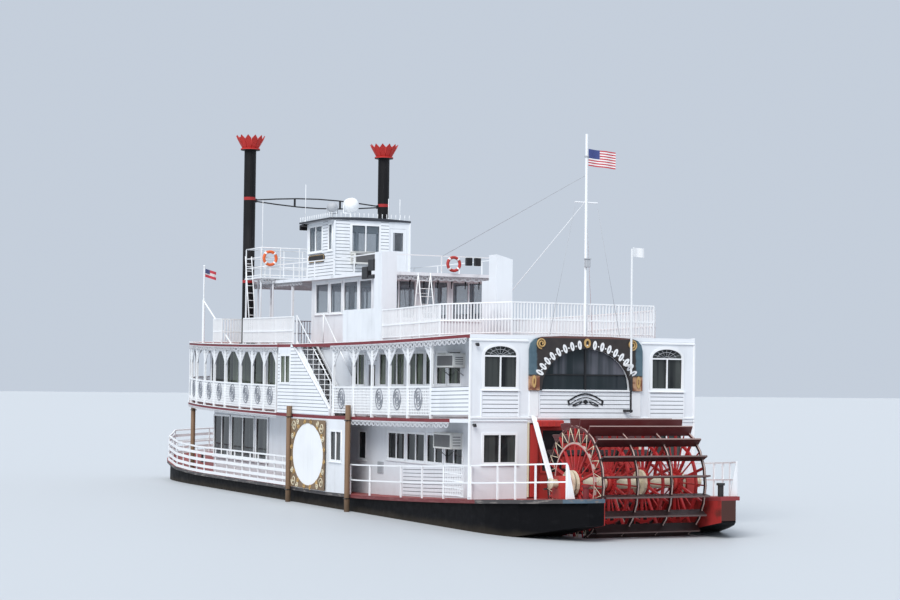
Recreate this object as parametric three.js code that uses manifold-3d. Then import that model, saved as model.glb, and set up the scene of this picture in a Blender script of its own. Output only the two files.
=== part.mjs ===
// A sternwheel excursion boat, afloat: flat-bottomed hull with twin horns, three decks, pilothouse,
// two stacks, a paddle wheel between the horns and two rudders ahead of it.
// Millimetres, +X towards the bow, +Y to port, +Z up. While it is modelled, X is measured from the
// outer face of the stern wall and Z from the hull's flat bottom.
import * as THREE from 'three';
import { mergeVertices } from 'three/addons/utils/BufferGeometryUtils.js';
import Module from 'manifold-3d';

// Whole boat
const BEAM = 8320;
const HORN_END_X = -4840;
const BOW_TIP_X = 34500;
const GAP = 0.3;
const RUNNING_GAP = 0.8;
const WALL = 80;
const SLAB = 120;
const STATION = 3000;

// Deck tops amidships; the sheer lifts both ends
const MAIN_Z = 1530;
const SECOND_Z = 4320;
const THIRD_Z = 6990;
const ROOF_Z = 9660;
const SHEER_MIDDLE_X = 13500;
const SHEER_RISE = 160;
const STERN_KICK_X = 11500;
const STERN_KICK = 14.1;
const STERN_KICK_POWER = 1.4;
const BOW_KICK_X = 27000;
const BOW_KICK = 10.2e-6;

// Hull
const HULL_INSET = 140;
const STERN_RAKE_X = 2800;
const STERN_RAKE_END_Z = 1450;
const BOW_RAKE_X = 27500;
const BOW_FLAT_START_X = 24000;
const BOW_POWER = 4.4;
const HULL_END_X = -260;
const HORN_OUTER = 2720;
const HORN_INNER = 2030;

// Mooring bollards on the main deck: two at the bow, one on each horn
const BOLLARD = { radius: 90, cap: 130, height: 420 };
const BOLLARD_PLACES = [[31500, 2300], [31500, -2300], [-4300, 2380], [-4300, -2380]];

// Upper decks
const UPPER_TAPER_X = 22000;
const UPPER_TIP_X = 33000;
const UPPER_POWER = 3;

// Walls
const CABIN_Y = 3200;
const MAIN_CABIN_END_X = 27300;
const SECOND_CABIN_END_X = 28000;
const TOWER_INNER_Y = 2100;
const TOWER_WINDOW = { inner: 2475, outer: 3690 };
const BOARD_X = [10000, 15300];
const STAIR_WALL_X = [11700, 17000];

// Deckhouse and roof deck
const DECKHOUSE_X = [11600, 18000];
const DECKHOUSE_Y = 2400;
const ROOF_X = [10900, 24800];
const ROOF_Y = 2750;
const ROOF_POST_X = [11050, 19500, 22000, 24600];
const ROOF_POST_Y = 2630;
const POST = 90;

// Pilothouse
const PILOT_X = [17500, 20380];
const PILOT_Y = 1650;
const PILOT_HEIGHT = 2345;
const PILOT_ROOF = 70;
const PILOT_CAMBER = 60;
const PILOT_EAVES = 260;

// Stacks and masts
const STACK_X = 23540;
const STACK_Y = 3100;
const STACK_R = 250;
const STACK_WALL = 40;
const STACK_TOP_Z = 15330;
const CROWN_TOP_Z = 16090;
const CROWN_PETALS = 12;
const SPREADER_Z = 13200;
const MAST_X = 50;
const MAST_TOP_Z = 13730;
const MAST_R = 45;
const MAST_SIDES = 10;
const CROSSTREE_Z = 11500;
const STAY_X = 3600;
const STAY_Y = 2300;
const STAFF_X = -420;
const STAFF_Y = -1460;
const STAFF_TOP_Z = 10030;

// Paddle wheel
const HUB_X = -2600;
const HUB_Z = 2575;
const WHEEL_R = 2005;
const WHEEL_HALF = 1830;
const SPIDERS = 4;
const BOARDS = 20;
const SPOKES = 10;
const SPOKE_HALF = 34;
const BOARD_DEPTH = 330;
const BOARD_THICK = 50;
const STRAP_R = 1700;
const STRAP_WIDTH = 70;
const INNER_RING_R = 1230;
const HUB_R = 420;
const SHAFT_R = 130;
const SHAFT_HALF = 2640;
const SPIDER_THICK = 70;
const FIRST_BOARD = 0.012;

// Rudders
const RUDDER_X = -520;
const RUDDER_Y = 1100;
const RUDDER_STOCK_R = 40;
const RUDDER_LENGTH = 500;
const RUDDER_Z = [120, 1020];
const GUDGEON_Z = [700, 1300];
const GUDGEON_THICK = 60;
const COLLAR_Z = GUDGEON_Z[1] + GUDGEON_THICK + GAP;

// Doors
const DOOR_THICK = 45;
const DOOR_BARREL_R = 15;
const DOOR_GAP = 6;
const DOOR_HEIGHT = 2000;

// Rails
const RAIL_HEIGHT = 1080;
const LOW_RAIL_HEIGHT = 660;
const FENCE_STEP = 2000;
const GALLERY_STEP = 1450;

const COLOURS = {
  white: [0xe6e8ea, 0.55, 0.0],
  red: [0xb23a35, 0.55, 0.0],
  maroon: [0x5a1f22, 0.55, 0.0],
  black: [0x17181a, 0.5, 0.0],
  hull: [0x1c1d20, 0.6, 0.0],
  deck: [0xa8433d, 0.7, 0.0],
  board: [0x33191a, 0.7, 0.0],
  cream: [0xd8ceb2, 0.5, 0.0],
  steel: [0x6d7278, 0.5, 0.6],
  cloth: [0xb9434a, 0.9, 0.0],
};

const wasm = await Module();
wasm.setup();

const boat = new THREE.Group();

// Solids and joining

// Keeps only the places of the corners, and joins those that meet
function welded(geometry) {
  geometry.deleteAttribute('normal');
  geometry.deleteAttribute('uv');
  return mergeVertices(geometry, 1e-3);
}

function toManifold(geometry) {
  return new wasm.Manifold(new wasm.Mesh({
    numProp: 3,
    vertProperties: new Float32Array(geometry.attributes.position.array),
    triVerts: new Uint32Array(geometry.index.array),
  }));
}

function toGeometry(manifold) {
  const mesh = manifold.getMesh();
  const geometry = new THREE.BufferGeometry();
  geometry.setAttribute('position', new THREE.BufferAttribute(mesh.vertProperties, 3));
  geometry.setIndex(new THREE.BufferAttribute(mesh.triVerts, 1));
  return geometry;
}

function joined(geometries) {
  return toGeometry(geometries.map(toManifold).reduce((sum, next) => sum.add(next)));
}

function cut(geometry, tools) {
  return toGeometry(tools.map(toManifold).reduce((rest, tool) => rest.subtract(tool), toManifold(geometry)));
}

function common(first, second) {
  return toGeometry(toManifold(first).intersect(toManifold(second)));
}

function addMesh(name, geometry, colour) {
  const [color, roughness, metalness] = COLOURS[colour];
  const material = new THREE.MeshStandardMaterial({ color, roughness, metalness, flatShading: true });
  const mesh = new THREE.Mesh(geometry, material);
  mesh.name = name;
  boat.add(mesh);
  return mesh;
}

function box(x, y, z) {
  const geometry = welded(new THREE.BoxGeometry(x[1] - x[0], y[1] - y[0], z[1] - z[0]));
  return geometry.translate((x[0] + x[1]) / 2, (y[0] + y[1]) / 2, (z[0] + z[1]) / 2);
}

// Leaves out the points of an outline that lie on the line between their neighbours
function cornersOnly(points) {
  return points.filter(([u, v], i) => {
    const [u0, v0] = points[(i + points.length - 1) % points.length];
    const [u1, v1] = points[(i + 1) % points.length];
    return Math.abs((u - u0) * (v1 - v) - (v - v0) * (u1 - u)) > 1;
  });
}

function prism(points, depth) {
  const shape = new THREE.Shape(cornersOnly(points).map(([u, v]) => new THREE.Vector2(u, v)));
  return welded(new THREE.ExtrudeGeometry(shape, { depth, bevelEnabled: false }));
}

function extruded(points, holes, depth) {
  const whole = prism(points, depth);
  if (holes.length === 0) {
    return whole;
  }
  return cut(whole, holes.map((hole) => prism(hole, depth + 2).translate(0, 0, -1)));
}

// An outline seen from above, [x, y], between two heights
function fromAbove(points, z, holes = []) {
  return extruded(points, holes, z[1] - z[0]).translate(0, 0, z[0]);
}

// An outline seen from the side, [x, z], between two breadths
function fromSide(points, y, holes = []) {
  return extruded(points, holes, y[1] - y[0]).rotateX(Math.PI / 2).translate(0, y[1], 0);
}

// An outline seen from astern, [y, z], between two lengths
function fromAstern(points, x, holes = []) {
  const turn = new THREE.Matrix4().makeBasis(
    new THREE.Vector3(0, 1, 0),
    new THREE.Vector3(0, 0, 1),
    new THREE.Vector3(1, 0, 0),
  );
  return extruded(points, holes, x[1] - x[0]).applyMatrix4(turn).translate(x[0], 0, 0);
}

// A straight bar of a round section between two points
function rod(start, end, radius, sides = 8) {
  const a = new THREE.Vector3(...start);
  const b = new THREE.Vector3(...end);
  const length = a.distanceTo(b);
  const geometry = welded(new THREE.CylinderGeometry(radius, radius, length, sides));
  const turn = new THREE.Quaternion().setFromUnitVectors(
    new THREE.Vector3(0, 1, 0),
    b.clone().sub(a).normalize(),
  );
  return geometry.applyQuaternion(turn).translate(...a.add(b).multiplyScalar(0.5).toArray());
}

// A straight bar of a square section between two points that differ mostly along the boat
function bar(start, end, width, height) {
  const a = new THREE.Vector3(...start);
  const b = new THREE.Vector3(...end);
  const along = b.clone().sub(a);
  const length = along.length();
  const side = new THREE.Vector3(0, 0, 1).cross(along).normalize();
  const up = along.clone().cross(side).normalize();
  const geometry = welded(new THREE.BoxGeometry(length, width, height));
  const turn = new THREE.Matrix4().makeBasis(along.normalize(), side, up);
  return geometry.applyMatrix4(turn).translate(...a.add(b).multiplyScalar(0.5).toArray());
}

// The starboard copy of a port piece
function mirrored(geometry) {
  const other = geometry.clone().scale(1, -1, 1);
  const index = other.index.array;
  for (let i = 0; i < index.length; i += 3) {
    [index[i], index[i + 1]] = [index[i + 1], index[i]];
  }
  return other;
}

function rectangle(u0, u1, v0, v1) {
  return [[u0, v0], [u1, v0], [u1, v1], [u0, v1]];
}

// A window with a rounded head that rises from its springing
function archWindow(u0, u1, v0, springing, rise, steps = 8) {
  const points = [[u0, v0], [u1, v0], [u1, springing]];
  const centre = (u0 + u1) / 2;
  const halfWidth = (u1 - u0) / 2;
  for (let i = 1; i < steps; i += 1) {
    const angle = (Math.PI * i) / steps;
    points.push([centre + halfWidth * Math.cos(angle), springing + rise * Math.sin(angle)]);
  }
  points.push([u0, springing]);
  return points;
}

// Decks with sheer: straight between stations, so walls and rails follow them exactly

function upperSheer(x) {
  return SHEER_RISE * ((x - SHEER_MIDDLE_X) / SHEER_MIDDLE_X) ** 2;
}

function mainSheer(x) {
  const aft = Math.max(0, STERN_KICK_X - x);
  const ahead = Math.max(0, x - BOW_KICK_X);
  return STERN_KICK * (aft / 1000) ** STERN_KICK_POWER + BOW_KICK * ahead ** 2;
}

const decks = {
  main: { z: MAIN_Z, sheer: mainSheer },
  second: { z: SECOND_Z, sheer: upperSheer },
  third: { z: THIRD_Z, sheer: upperSheer },
  roof: { z: ROOF_Z, sheer: upperSheer },
};

function level(deck, x) {
  const low = Math.floor(x / STATION) * STATION;
  const share = (x - low) / STATION;
  const { z, sheer } = decks[deck];
  return z + sheer(low) * (1 - share) + sheer(low + STATION) * share;
}

function stationsBetween(x0, x1) {
  const stations = [x0];
  for (let x = (Math.floor(x0 / STATION) + 1) * STATION; x < x1 - 1; x += STATION) {
    if (x > x0 + 1) {
      stations.push(x);
    }
  }
  stations.push(x1);
  return stations;
}

// A band seen from the side between two lines, each a deck with an offset
function band(x0, x1, lower, upper) {
  const stations = stationsBetween(x0, x1);
  const under = stations.map((x) => [x, level(lower[0], x) + lower[1]]);
  const over = stations.map((x) => [x, level(upper[0], x) + upper[1]]);
  return under.concat(over.reverse());
}

// A panel seen from the side that stands on a deck and has a level top
function standing(deck, x0, x1, topZ) {
  const under = stationsBetween(x0, x1).map((x) => [x, level(deck, x) + GAP]);
  return under.concat([[x1, topZ], [x0, topZ]]);
}

function storeyWall(x, y, floor, ceiling, holes = []) {
  const outline = band(x[0], x[1], [floor, GAP], [ceiling, -SLAB - GAP]);
  return fromSide(outline, y, holes);
}

function windowHole(deck, x0, x1, sill, head) {
  const z = level(deck, (x0 + x1) / 2);
  return rectangle(x0, x1, z + sill, z + head);
}

// Plan outlines

function roundedEnd(startX, tipX, halfBeam, power, steps = 8) {
  const points = [];
  for (let i = 0; i <= steps; i += 1) {
    const angle = (Math.PI / 2) * (i / steps);
    const x = startX + (tipX - startX) * Math.sin(angle) ** (2 / power);
    const y = i < steps ? halfBeam * Math.cos(angle) ** (2 / power) : 0;
    points.push([x, y]);
  }
  return points;
}

// Full beam at the stern wall, drawn in to the horn's end by a quarter wave
function hornSide(halfBeam, inset, steps = 6) {
  const points = [];
  for (let i = 0; i <= steps; i += 1) {
    const share = i / steps;
    const x = HORN_END_X * (1 - share);
    const bulge = Math.sin((Math.PI / 2) * share) ** 0.8;
    points.push([x, HORN_OUTER - inset + (halfBeam - HORN_OUTER + inset) * bulge]);
  }
  return points;
}

function hullPlan(inset, wellX) {
  const halfBeam = BEAM / 2 - inset;
  const port = [[HORN_END_X, HORN_INNER]]
    .concat(hornSide(halfBeam, inset))
    .concat(roundedEnd(BOW_FLAT_START_X, BOW_TIP_X - inset, halfBeam, BOW_POWER, 10));
  const starboard = port.slice(0, -1).map(([x, y]) => [x, -y]).reverse();
  return [[wellX, HORN_INNER]].concat(port).concat(starboard).concat([[wellX, -HORN_INNER]]);
}

function upperPlan() {
  const port = [[0, BEAM / 2]].concat(roundedEnd(UPPER_TAPER_X, UPPER_TIP_X, BEAM / 2, UPPER_POWER, 10));
  return port.concat(port.slice(0, -1).map(([x, y]) => [x, -y]).reverse());
}

function slabOf(deck, plan, x, holes = []) {
  const ribbon = fromSide(band(x[0], x[1], [deck, -SLAB], [deck, 0]), [-BEAM, BEAM]);
  const outline = fromAbove(plan, [0, 20000], holes);
  return common(ribbon, outline);
}

// Hull and decks

function hullSolid() {
  const stations = stationsBetween(HORN_END_X, BOW_TIP_X);
  const top = stations.map((x) => [x, level('main', x) - SLAB - GAP]).reverse();
  const tipTop = level('main', BOW_TIP_X) - SLAB - GAP;
  const bottom = [
    [HORN_END_X, STERN_RAKE_END_Z],
    [STERN_RAKE_X, 0],
    [BOW_RAKE_X, 0],
    [BOW_RAKE_X + 2500, 180],
    [BOW_RAKE_X + 4500, 560],
    [BOW_RAKE_X + 6000, 1050],
    [BOW_TIP_X, tipTop - 420],
  ];
  const side = fromSide(bottom.concat(top), [-BEAM, BEAM]);
  const plan = fromAbove(hullPlan(HULL_INSET, HULL_END_X), [-100, 4000]);
  const pieces = [common(side, plan)];
  for (const y of [RUDDER_Y, -RUDDER_Y]) {
    for (const z of GUDGEON_Z) {
      const bracket = box([RUDDER_X - 90, HULL_END_X + 60], [y - 60, y + 60], [z, z + GUDGEON_THICK]);
      const bore = rod([RUDDER_X, y, z - 50], [RUDDER_X, y, z + 110], boreRadius(RUDDER_STOCK_R, RUNNING_GAP, 16), 16);
      pieces.push(cut(bracket, [bore]));
    }
  }
  return joined(pieces);
}

addMesh('hull', hullSolid(), 'hull');

function bollard([x, y]) {
  const foot = level('main', x) - SLAB / 2;
  const top = level('main', x) + BOLLARD.height;
  return joined([
    rod([x, y, foot], [x, y, top - 30], BOLLARD.radius, 12),
    rod([x, y, top - 70], [x, y, top], BOLLARD.cap, 12),
  ]);
}

function mainDeck() {
  const slab = slabOf('main', hullPlan(0, HULL_END_X), [HORN_END_X - 10, BOW_TIP_X + 10]);
  return joined([slab, ...BOLLARD_PLACES.map(bollard)]);
}
addMesh('main_deck', mainDeck(), 'deck');

const stairOpening = rectangle(11900, 15300, 3300, BEAM / 2 - 120);
addMesh('second_deck', slabOf('second', upperPlan(), [WALL + GAP, UPPER_TIP_X + 10]), 'maroon');
addMesh('third_deck', slabOf('third', upperPlan(), [-10, UPPER_TIP_X + 10], [stairOpening]), 'maroon');

// The roof deck with the posts and beams that carry it fore and aft of the deckhouse
function roofDeck() {
  const plan = rectangle(ROOF_X[0], ROOF_X[1], -ROOF_Y, ROOF_Y);
  const pieces = [slabOf('roof', plan, [ROOF_X[0] - 10, ROOF_X[1] + 10])];
  for (const x of ROOF_POST_X) {
    const underside = level('roof', x) - SLAB;
    const foot = Math.max(level('third', x - 45), level('third', x + 45)) + GAP;
    for (const y of [-ROOF_POST_Y, ROOF_POST_Y]) {
      pieces.push(box([x - 45, x + 45], [y - 45, y + 45], [foot, underside + 20]));
    }
    pieces.push(box([x - 40, x + 40], [-ROOF_POST_Y, ROOF_POST_Y], [underside - 160, underside + 20]));
  }
  return joined(pieces);
}
addMesh('roof_deck', roofDeck(), 'white');

// Door leaves: a panel with its hinge barrel on the axis at one bottom corner of its outer face

function doorLeaf(width, height, direction) {
  const across = (from, to) => [direction * from, direction * to].sort((a, b) => a - b);
  const panel = box(across(0, width), [-DOOR_THICK, 0], [0, height]);
  const pane = box(across(120, width - 120), [-DOOR_THICK - 5, 5], [height * 0.55, height - 150]);
  return joined([cut(panel, [pane]), rod([0, 0, 0], [0, 0, height], DOOR_BARREL_R, 12)]);
}

// Turns a leaf so that it runs along a direction from its hinge, its outer face to the outside
function hangDoor(name, leaf, hinge, angle) {
  const mesh = addMesh(name, leaf, 'white');
  mesh.rotation.z = angle;
  mesh.position.set(...hinge);
  return mesh;
}

// Main deck cabin

const sideWindows = {
  // start, end, sill and head above the deck
  aft: [[2400, 3750, 1090, 2090], [3900, 5200, 1140, 2120], [5350, 6850, 1200, 2180], [7000, 8450, 1260, 2220],
    [10400, 11100, 1220, 2250]],
  ahead: [[20600, 21850, 850, 2350], [22100, 23350, 850, 2350], [23500, 24950, 850, 2350],
    [25150, 26950, 850, 2350]],
};

function mainSideWall() {
  const holes = sideWindows.aft.concat(sideWindows.ahead)
    .map(([x0, x1, sill, head]) => windowHole('main', x0, x1, sill, head));
  return storeyWall([WALL + GAP, MAIN_CABIN_END_X], [CABIN_Y - WALL, CABIN_Y], 'main', 'second', holes);
}

const mainSide = mainSideWall();
addMesh('main_wall_port', mainSide, 'white');
addMesh('main_wall_starboard', mirrored(mainSide), 'white');

const ENTRY_HALF = 900;
const entryFloor = Math.max(level('main', MAIN_CABIN_END_X), level('main', MAIN_CABIN_END_X + WALL));
const entryX = MAIN_CABIN_END_X + GAP + WALL;
// The leaves open over the rising bow deck, so they hang above its level where they reach furthest
const entryZ = level('main', entryX + ENTRY_HALF) + 12;
function mainForwardWall() {
  const x = [MAIN_CABIN_END_X + GAP, MAIN_CABIN_END_X + GAP + WALL];
  const z = [entryFloor + GAP, Math.min(level('second', x[0]), level('second', x[1])) - SLAB - GAP];
  const doorway = rectangle(
    -ENTRY_HALF - DOOR_BARREL_R - 0.5,
    ENTRY_HALF + DOOR_BARREL_R + 0.5,
    entryZ - DOOR_GAP,
    entryZ + DOOR_HEIGHT + DOOR_GAP,
  );
  const panel = fromAstern(rectangle(-CABIN_Y, CABIN_Y, z[0], z[1]), x, [
    rectangle(1500, 2750, z[0] + 850, z[0] + 2250),
    rectangle(-2750, -1500, z[0] + 850, z[0] + 2250),
  ]);
  return cut(panel, [fromAstern(doorway, [x[0] - 50, x[1] + 50])]);
}
addMesh('main_wall_forward', mainForwardWall(), 'white');

const entryWidth = ENTRY_HALF - DOOR_GAP / 2;
hangDoor('entry_door_port', doorLeaf(entryWidth, DOOR_HEIGHT, 1), [entryX, ENTRY_HALF, entryZ], -Math.PI / 2);
hangDoor(
  'entry_door_starboard',
  doorLeaf(entryWidth, DOOR_HEIGHT, -1),
  [entryX, -ENTRY_HALF, entryZ],
  -Math.PI / 2,
);

function sternBulkhead() {
  const x = [WALL + GAP, 2 * WALL + GAP];
  const z = [level('main', x[0]) + 1, level('second', x[1]) - SLAB - 1];
  return fromAstern(rectangle(-CABIN_Y + WALL + GAP, CABIN_Y - WALL - GAP, z[0], z[1]), x);
}
addMesh('main_wall_aft', sternBulkhead(), 'red');

// Board walls at the deck's edge, with the oval boards

function ovalBoard() {
  const y = [BEAM / 2 - WALL, BEAM / 2];
  const opening = windowHole('main', 10450, 11500, 1150, 2250);
  const panel = storeyWall(BOARD_X, y, 'main', 'second', [opening]);
  const centre = [13400, 2860];
  const radii = [1200, 1050];
  const oval = [];
  for (let i = 0; i < 28; i += 1) {
    const angle = (2 * Math.PI * i) / 28;
    oval.push([centre[0] + radii[0] * Math.cos(angle), centre[1] + radii[1] * Math.sin(angle)]);
  }
  const raised = fromSide(oval, [BEAM / 2 - 20, BEAM / 2 + 45]);
  return joined([panel, raised]);
}
const board = ovalBoard();
addMesh('side_board_port', board, 'white');
addMesh('side_board_starboard', mirrored(board), 'white');

// Stern wall: two corner panels, the centre and its arch board

const sternTop = level('third', 0) - SLAB - GAP;
const mainAtStern = level('main', 0) + GAP;
const secondAtStern = level('second', 0);

function towerSolid() {
  const outline = rectangle(TOWER_INNER_Y, BEAM / 2, mainAtStern, sternTop - 3);
  const { inner, outer } = TOWER_WINDOW;
  return fromAstern(outline, [0, WALL], [
    rectangle(inner, outer, 3070, 4020),
    archWindow(inner, outer, secondAtStern + 970, secondAtStern + 1990, 360),
  ]);
}
const tower = towerSolid();
addMesh('tower_port', tower, 'white');
addMesh('tower_starboard', mirrored(tower), 'white');

function sternCentre() {
  const side = TOWER_INNER_Y - GAP;
  const outline = rectangle(-side, side, secondAtStern - SLAB, sternTop - 3);
  const opening = archWindow(-1600, 1600, secondAtStern + 950, secondAtStern + 1050, 1230, 14);
  return fromAstern(outline, [0, WALL], [opening]);
}
addMesh('stern_wall_centre', sternCentre(), 'white');

// The arch board stands off the centre wall on blocks
const ARCH_HALF = 2090;
const ARCH_Z = [5400, 7150];
const ARCH_X = [-100, -20];
function archBoard() {
  const corner = [
    [ARCH_HALF, ARCH_Z[0]], [ARCH_HALF, 6700], [2040, 6900], [1900, 7040], [1650, 7110], [900, ARCH_Z[1]],
  ];
  const outer = corner.concat(corner.slice().reverse().map(([y, z]) => [-y, z]));
  const inner = archWindow(-1640, 1640, ARCH_Z[0], ARCH_Z[0] + 60, 1300, 14).filter(([, z]) => z > ARCH_Z[0] + 1);
  const first = [1640, ARCH_Z[0]];
  const last = [-1640, ARCH_Z[0]];
  const outline = outer.concat([last], inner.slice().reverse(), [first]);
  const face = fromAstern(outline, ARCH_X);
  const blocks = [[1800, 5600], [-1800, 5600], [1750, 6300], [-1750, 6300], [0, 6920]].map(([y, z]) => (
    box([ARCH_X[1] - 10, -GAP], [y - 60, y + 60], [z - 60, z + 60])
  ));
  return joined([face, ...blocks]);
}
addMesh('arch_board', archBoard(), 'black');

// Second deck cabin

const galleryWindows = {
  // start, end, sill and head above the deck
  aft: [[2600, 3570, 1120, 2240], [3710, 4510, 1120, 2240], [4620, 5370, 1120, 2240], [5480, 6830, 1120, 2260],
    [7090, 8440, 1120, 2270], [8650, 9300, 1120, 2280], [10620, 11880, 1120, 2290]],
  ahead: [[17500, 18700, 900, 2200], [19000, 20200, 900, 2200], [20500, 21700, 900, 2200],
    [22000, 23200, 900, 2200], [23500, 24700, 900, 2200], [25000, 26200, 900, 2200]],
};
const GALLERY_DOOR_X = 10400;
const GALLERY_DOOR_WIDTH = 850;

function gallerySideWall() {
  const holes = galleryWindows.aft.concat(galleryWindows.ahead)
    .map(([x0, x1, sill, head]) => windowHole('second', x0, x1, sill, head));
  const x = [WALL + GAP, SECOND_CABIN_END_X];
  const panel = storeyWall(x, [CABIN_Y - WALL, CABIN_Y - GAP], 'second', 'third', holes);
  const doorway = box(
    [GALLERY_DOOR_X - GALLERY_DOOR_WIDTH - DOOR_GAP, GALLERY_DOOR_X + DOOR_BARREL_R + 0.5],
    [CABIN_Y - 2 * WALL, CABIN_Y + WALL],
    [SECOND_Z - 200, galleryDoorZ + DOOR_HEIGHT + 10],
  );
  return cut(panel, [doorway]);
}
const galleryDoorZ = Math.max(level('second', GALLERY_DOOR_X), level('second', GALLERY_DOOR_X - 900)) + 14;
const gallerySide = gallerySideWall();
addMesh('second_wall_port', gallerySide, 'white');
addMesh('second_wall_starboard', mirrored(gallerySide), 'white');

const galleryLeaf = (direction) => doorLeaf(GALLERY_DOOR_WIDTH - DOOR_GAP, DOOR_HEIGHT, direction);
hangDoor('gallery_door_port', galleryLeaf(-1), [GALLERY_DOOR_X, CABIN_Y - GAP, galleryDoorZ], 0);
hangDoor('gallery_door_starboard', galleryLeaf(1), [GALLERY_DOOR_X, -CABIN_Y + GAP, galleryDoorZ], Math.PI);

function secondForwardWall() {
  const x = [SECOND_CABIN_END_X + GAP, SECOND_CABIN_END_X + GAP + WALL];
  const z = [level('second', x[1]) + 1, level('third', x[0]) - SLAB - 1];
  const side = CABIN_Y - GAP;
  return fromAstern(rectangle(-side, side, z[0], z[1]), x, [
    rectangle(1800, 2900, z[0] + 900, z[0] + 2200),
    rectangle(500, 1600, z[0] + 900, z[0] + 2200),
    rectangle(-1600, -500, z[0] + 900, z[0] + 2200),
    rectangle(-2900, -1800, z[0] + 900, z[0] + 2200),
  ]);
}
addMesh('second_wall_forward', secondForwardWall(), 'white');

// Port stair from the second deck to the third, and the sided wall under it

const STAIR_FOOT_X = 11900;
const STAIR_HEAD_X = 15300;
const STAIR_STEPS = 13;
const STAIR_Y = [3330, BEAM / 2 - WALL - 60];

function stairWall() {
  const y = [BEAM / 2 - WALL, BEAM / 2];
  const stations = stationsBetween(STAIR_WALL_X[0], STAIR_WALL_X[1]);
  const under = stations.map((x) => [x, level('second', x) + GAP]);
  const ceiling = (x) => level('third', x) - SLAB - GAP;
  const over = stationsBetween(STAIR_HEAD_X, STAIR_WALL_X[1]).map((x) => [x, ceiling(x)]).reverse();
  const outline = under.concat(over, [[STAIR_WALL_X[0], level('second', STAIR_WALL_X[0]) + 250]]);
  return fromSide(outline, y, [windowHole('second', 15700, 16750, 1150, 2250)]);
}
addMesh('stair_wall_port', stairWall(), 'white');

function stairSolid() {
  const foot = Math.max(level('second', STAIR_FOOT_X - 60), level('second', STAIR_FOOT_X + 240)) + GAP;
  const head = level('third', STAIR_HEAD_X);
  const run = (STAIR_HEAD_X - STAIR_FOOT_X - 40) / STAIR_STEPS;
  const rise = (head - foot) / (STAIR_STEPS + 1);
  const pieces = [];
  for (let i = 0; i < STAIR_STEPS; i += 1) {
    const x = STAIR_FOOT_X + i * run;
    const z = foot + (i + 1) * rise;
    pieces.push(box([x, x + run + 20], [STAIR_Y[0] + 20, STAIR_Y[1] - 20], [z - 35, z]));
  }
  const stringer = [
    [STAIR_FOOT_X - 60, foot],
    [STAIR_FOOT_X + 240, foot],
    [STAIR_HEAD_X - GAP, head - 330],
    [STAIR_HEAD_X - GAP, head - 20],
    [STAIR_HEAD_X - 90, head - 20],
    [STAIR_FOOT_X - 60, foot + 160],
  ];
  for (const y of [STAIR_Y[0], STAIR_Y[1] - 40]) {
    pieces.push(fromSide(stringer, [y, y + 40]));
  }
  return joined(pieces);
}
addMesh('port_stair', stairSolid(), 'black');

// Deckhouse on the third deck, as two L-shaped halves

const deckhouseWindows = [[11900, 13100], [13250, 14650], [14830, 16020], [16200, 17550]];
function deckhouseHalf(side) {
  const y = [DECKHOUSE_Y - WALL, DECKHOUSE_Y];
  const holes = deckhouseWindows.map(([x0, x1]) => windowHole('third', x0, x1, 1230, 2430));
  const long = storeyWall(DECKHOUSE_X, y, 'third', 'roof', holes);
  const endX = side === 'port' ? DECKHOUSE_X[1] - WALL : DECKHOUSE_X[0];
  const z = [level('third', endX) + 8, level('roof', endX) - SLAB - 8];
  const end = fromAstern(rectangle(-DECKHOUSE_Y + WALL + GAP, DECKHOUSE_Y - 20, z[0], z[1]), [endX, endX + WALL], [
    rectangle(750, 2150, z[0] + 950, z[0] + 2400),
    rectangle(-600, 600, z[0] + 950, z[0] + 2400),
    rectangle(-2150, -750, z[0] + 950, z[0] + 2400),
  ]);
  return joined([long, end]);
}
addMesh('deckhouse_port', deckhouseHalf('port'), 'white');
addMesh('deckhouse_starboard', mirrored(deckhouseHalf('starboard')), 'white');

// Pilothouse

const pilotFloor = level('roof', PILOT_X[1]) + GAP;
const pilotTop = pilotFloor + PILOT_HEIGHT;

function pilotShell() {
  const sideHoles = [
    rectangle(PILOT_X[0] + 250, PILOT_X[0] + 650, pilotFloor + 1140, pilotFloor + 2210),
    rectangle(PILOT_X[0] + 1320, PILOT_X[1] - 130, pilotFloor + 1140, pilotFloor + 2210),
  ];
  const outline = (y) => fromSide(
    standing('roof', PILOT_X[0] + WALL + GAP, PILOT_X[1], pilotTop),
    y,
    sideHoles,
  );
  const front = fromAstern(rectangle(-PILOT_Y, PILOT_Y, pilotFloor, pilotTop), [PILOT_X[1] - WALL, PILOT_X[1]], [
    rectangle(-1450, -550, pilotFloor + 1050, pilotFloor + 2100),
    rectangle(-450, 450, pilotFloor + 1050, pilotFloor + 2100),
    rectangle(550, 1450, pilotFloor + 1050, pilotFloor + 2100),
  ]);
  return joined([outline([PILOT_Y - WALL, PILOT_Y]), outline([-PILOT_Y, -PILOT_Y + WALL]), front]);
}
addMesh('pilothouse_shell', pilotShell(), 'white');

const PILOT_DOOR = { hinge: -1480, width: 700 };
function pilotAft() {
  const x = [PILOT_X[0], PILOT_X[0] + WALL];
  const foot = level('roof', x[1]) + GAP;
  const panel = fromAstern(rectangle(-PILOT_Y, PILOT_Y, foot, pilotTop), x, [
    rectangle(-335, 930, pilotFloor + 1060, pilotFloor + 2190),
  ]);
  const doorway = box(
    [x[0] - 50, x[1] + 50],
    [PILOT_DOOR.hinge - DOOR_BARREL_R - 0.5, PILOT_DOOR.hinge + PILOT_DOOR.width + DOOR_GAP],
    [pilotFloor + 60, pilotFloor + 80 + DOOR_HEIGHT],
  );
  return cut(panel, [doorway]);
}
addMesh('pilothouse_aft', pilotAft(), 'white');
const pilotLeaf = doorLeaf(PILOT_DOOR.width - DOOR_GAP, DOOR_HEIGHT, 1);
hangDoor('pilothouse_door', pilotLeaf, [PILOT_X[0], PILOT_DOOR.hinge, pilotFloor + 70], Math.PI / 2);

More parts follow.
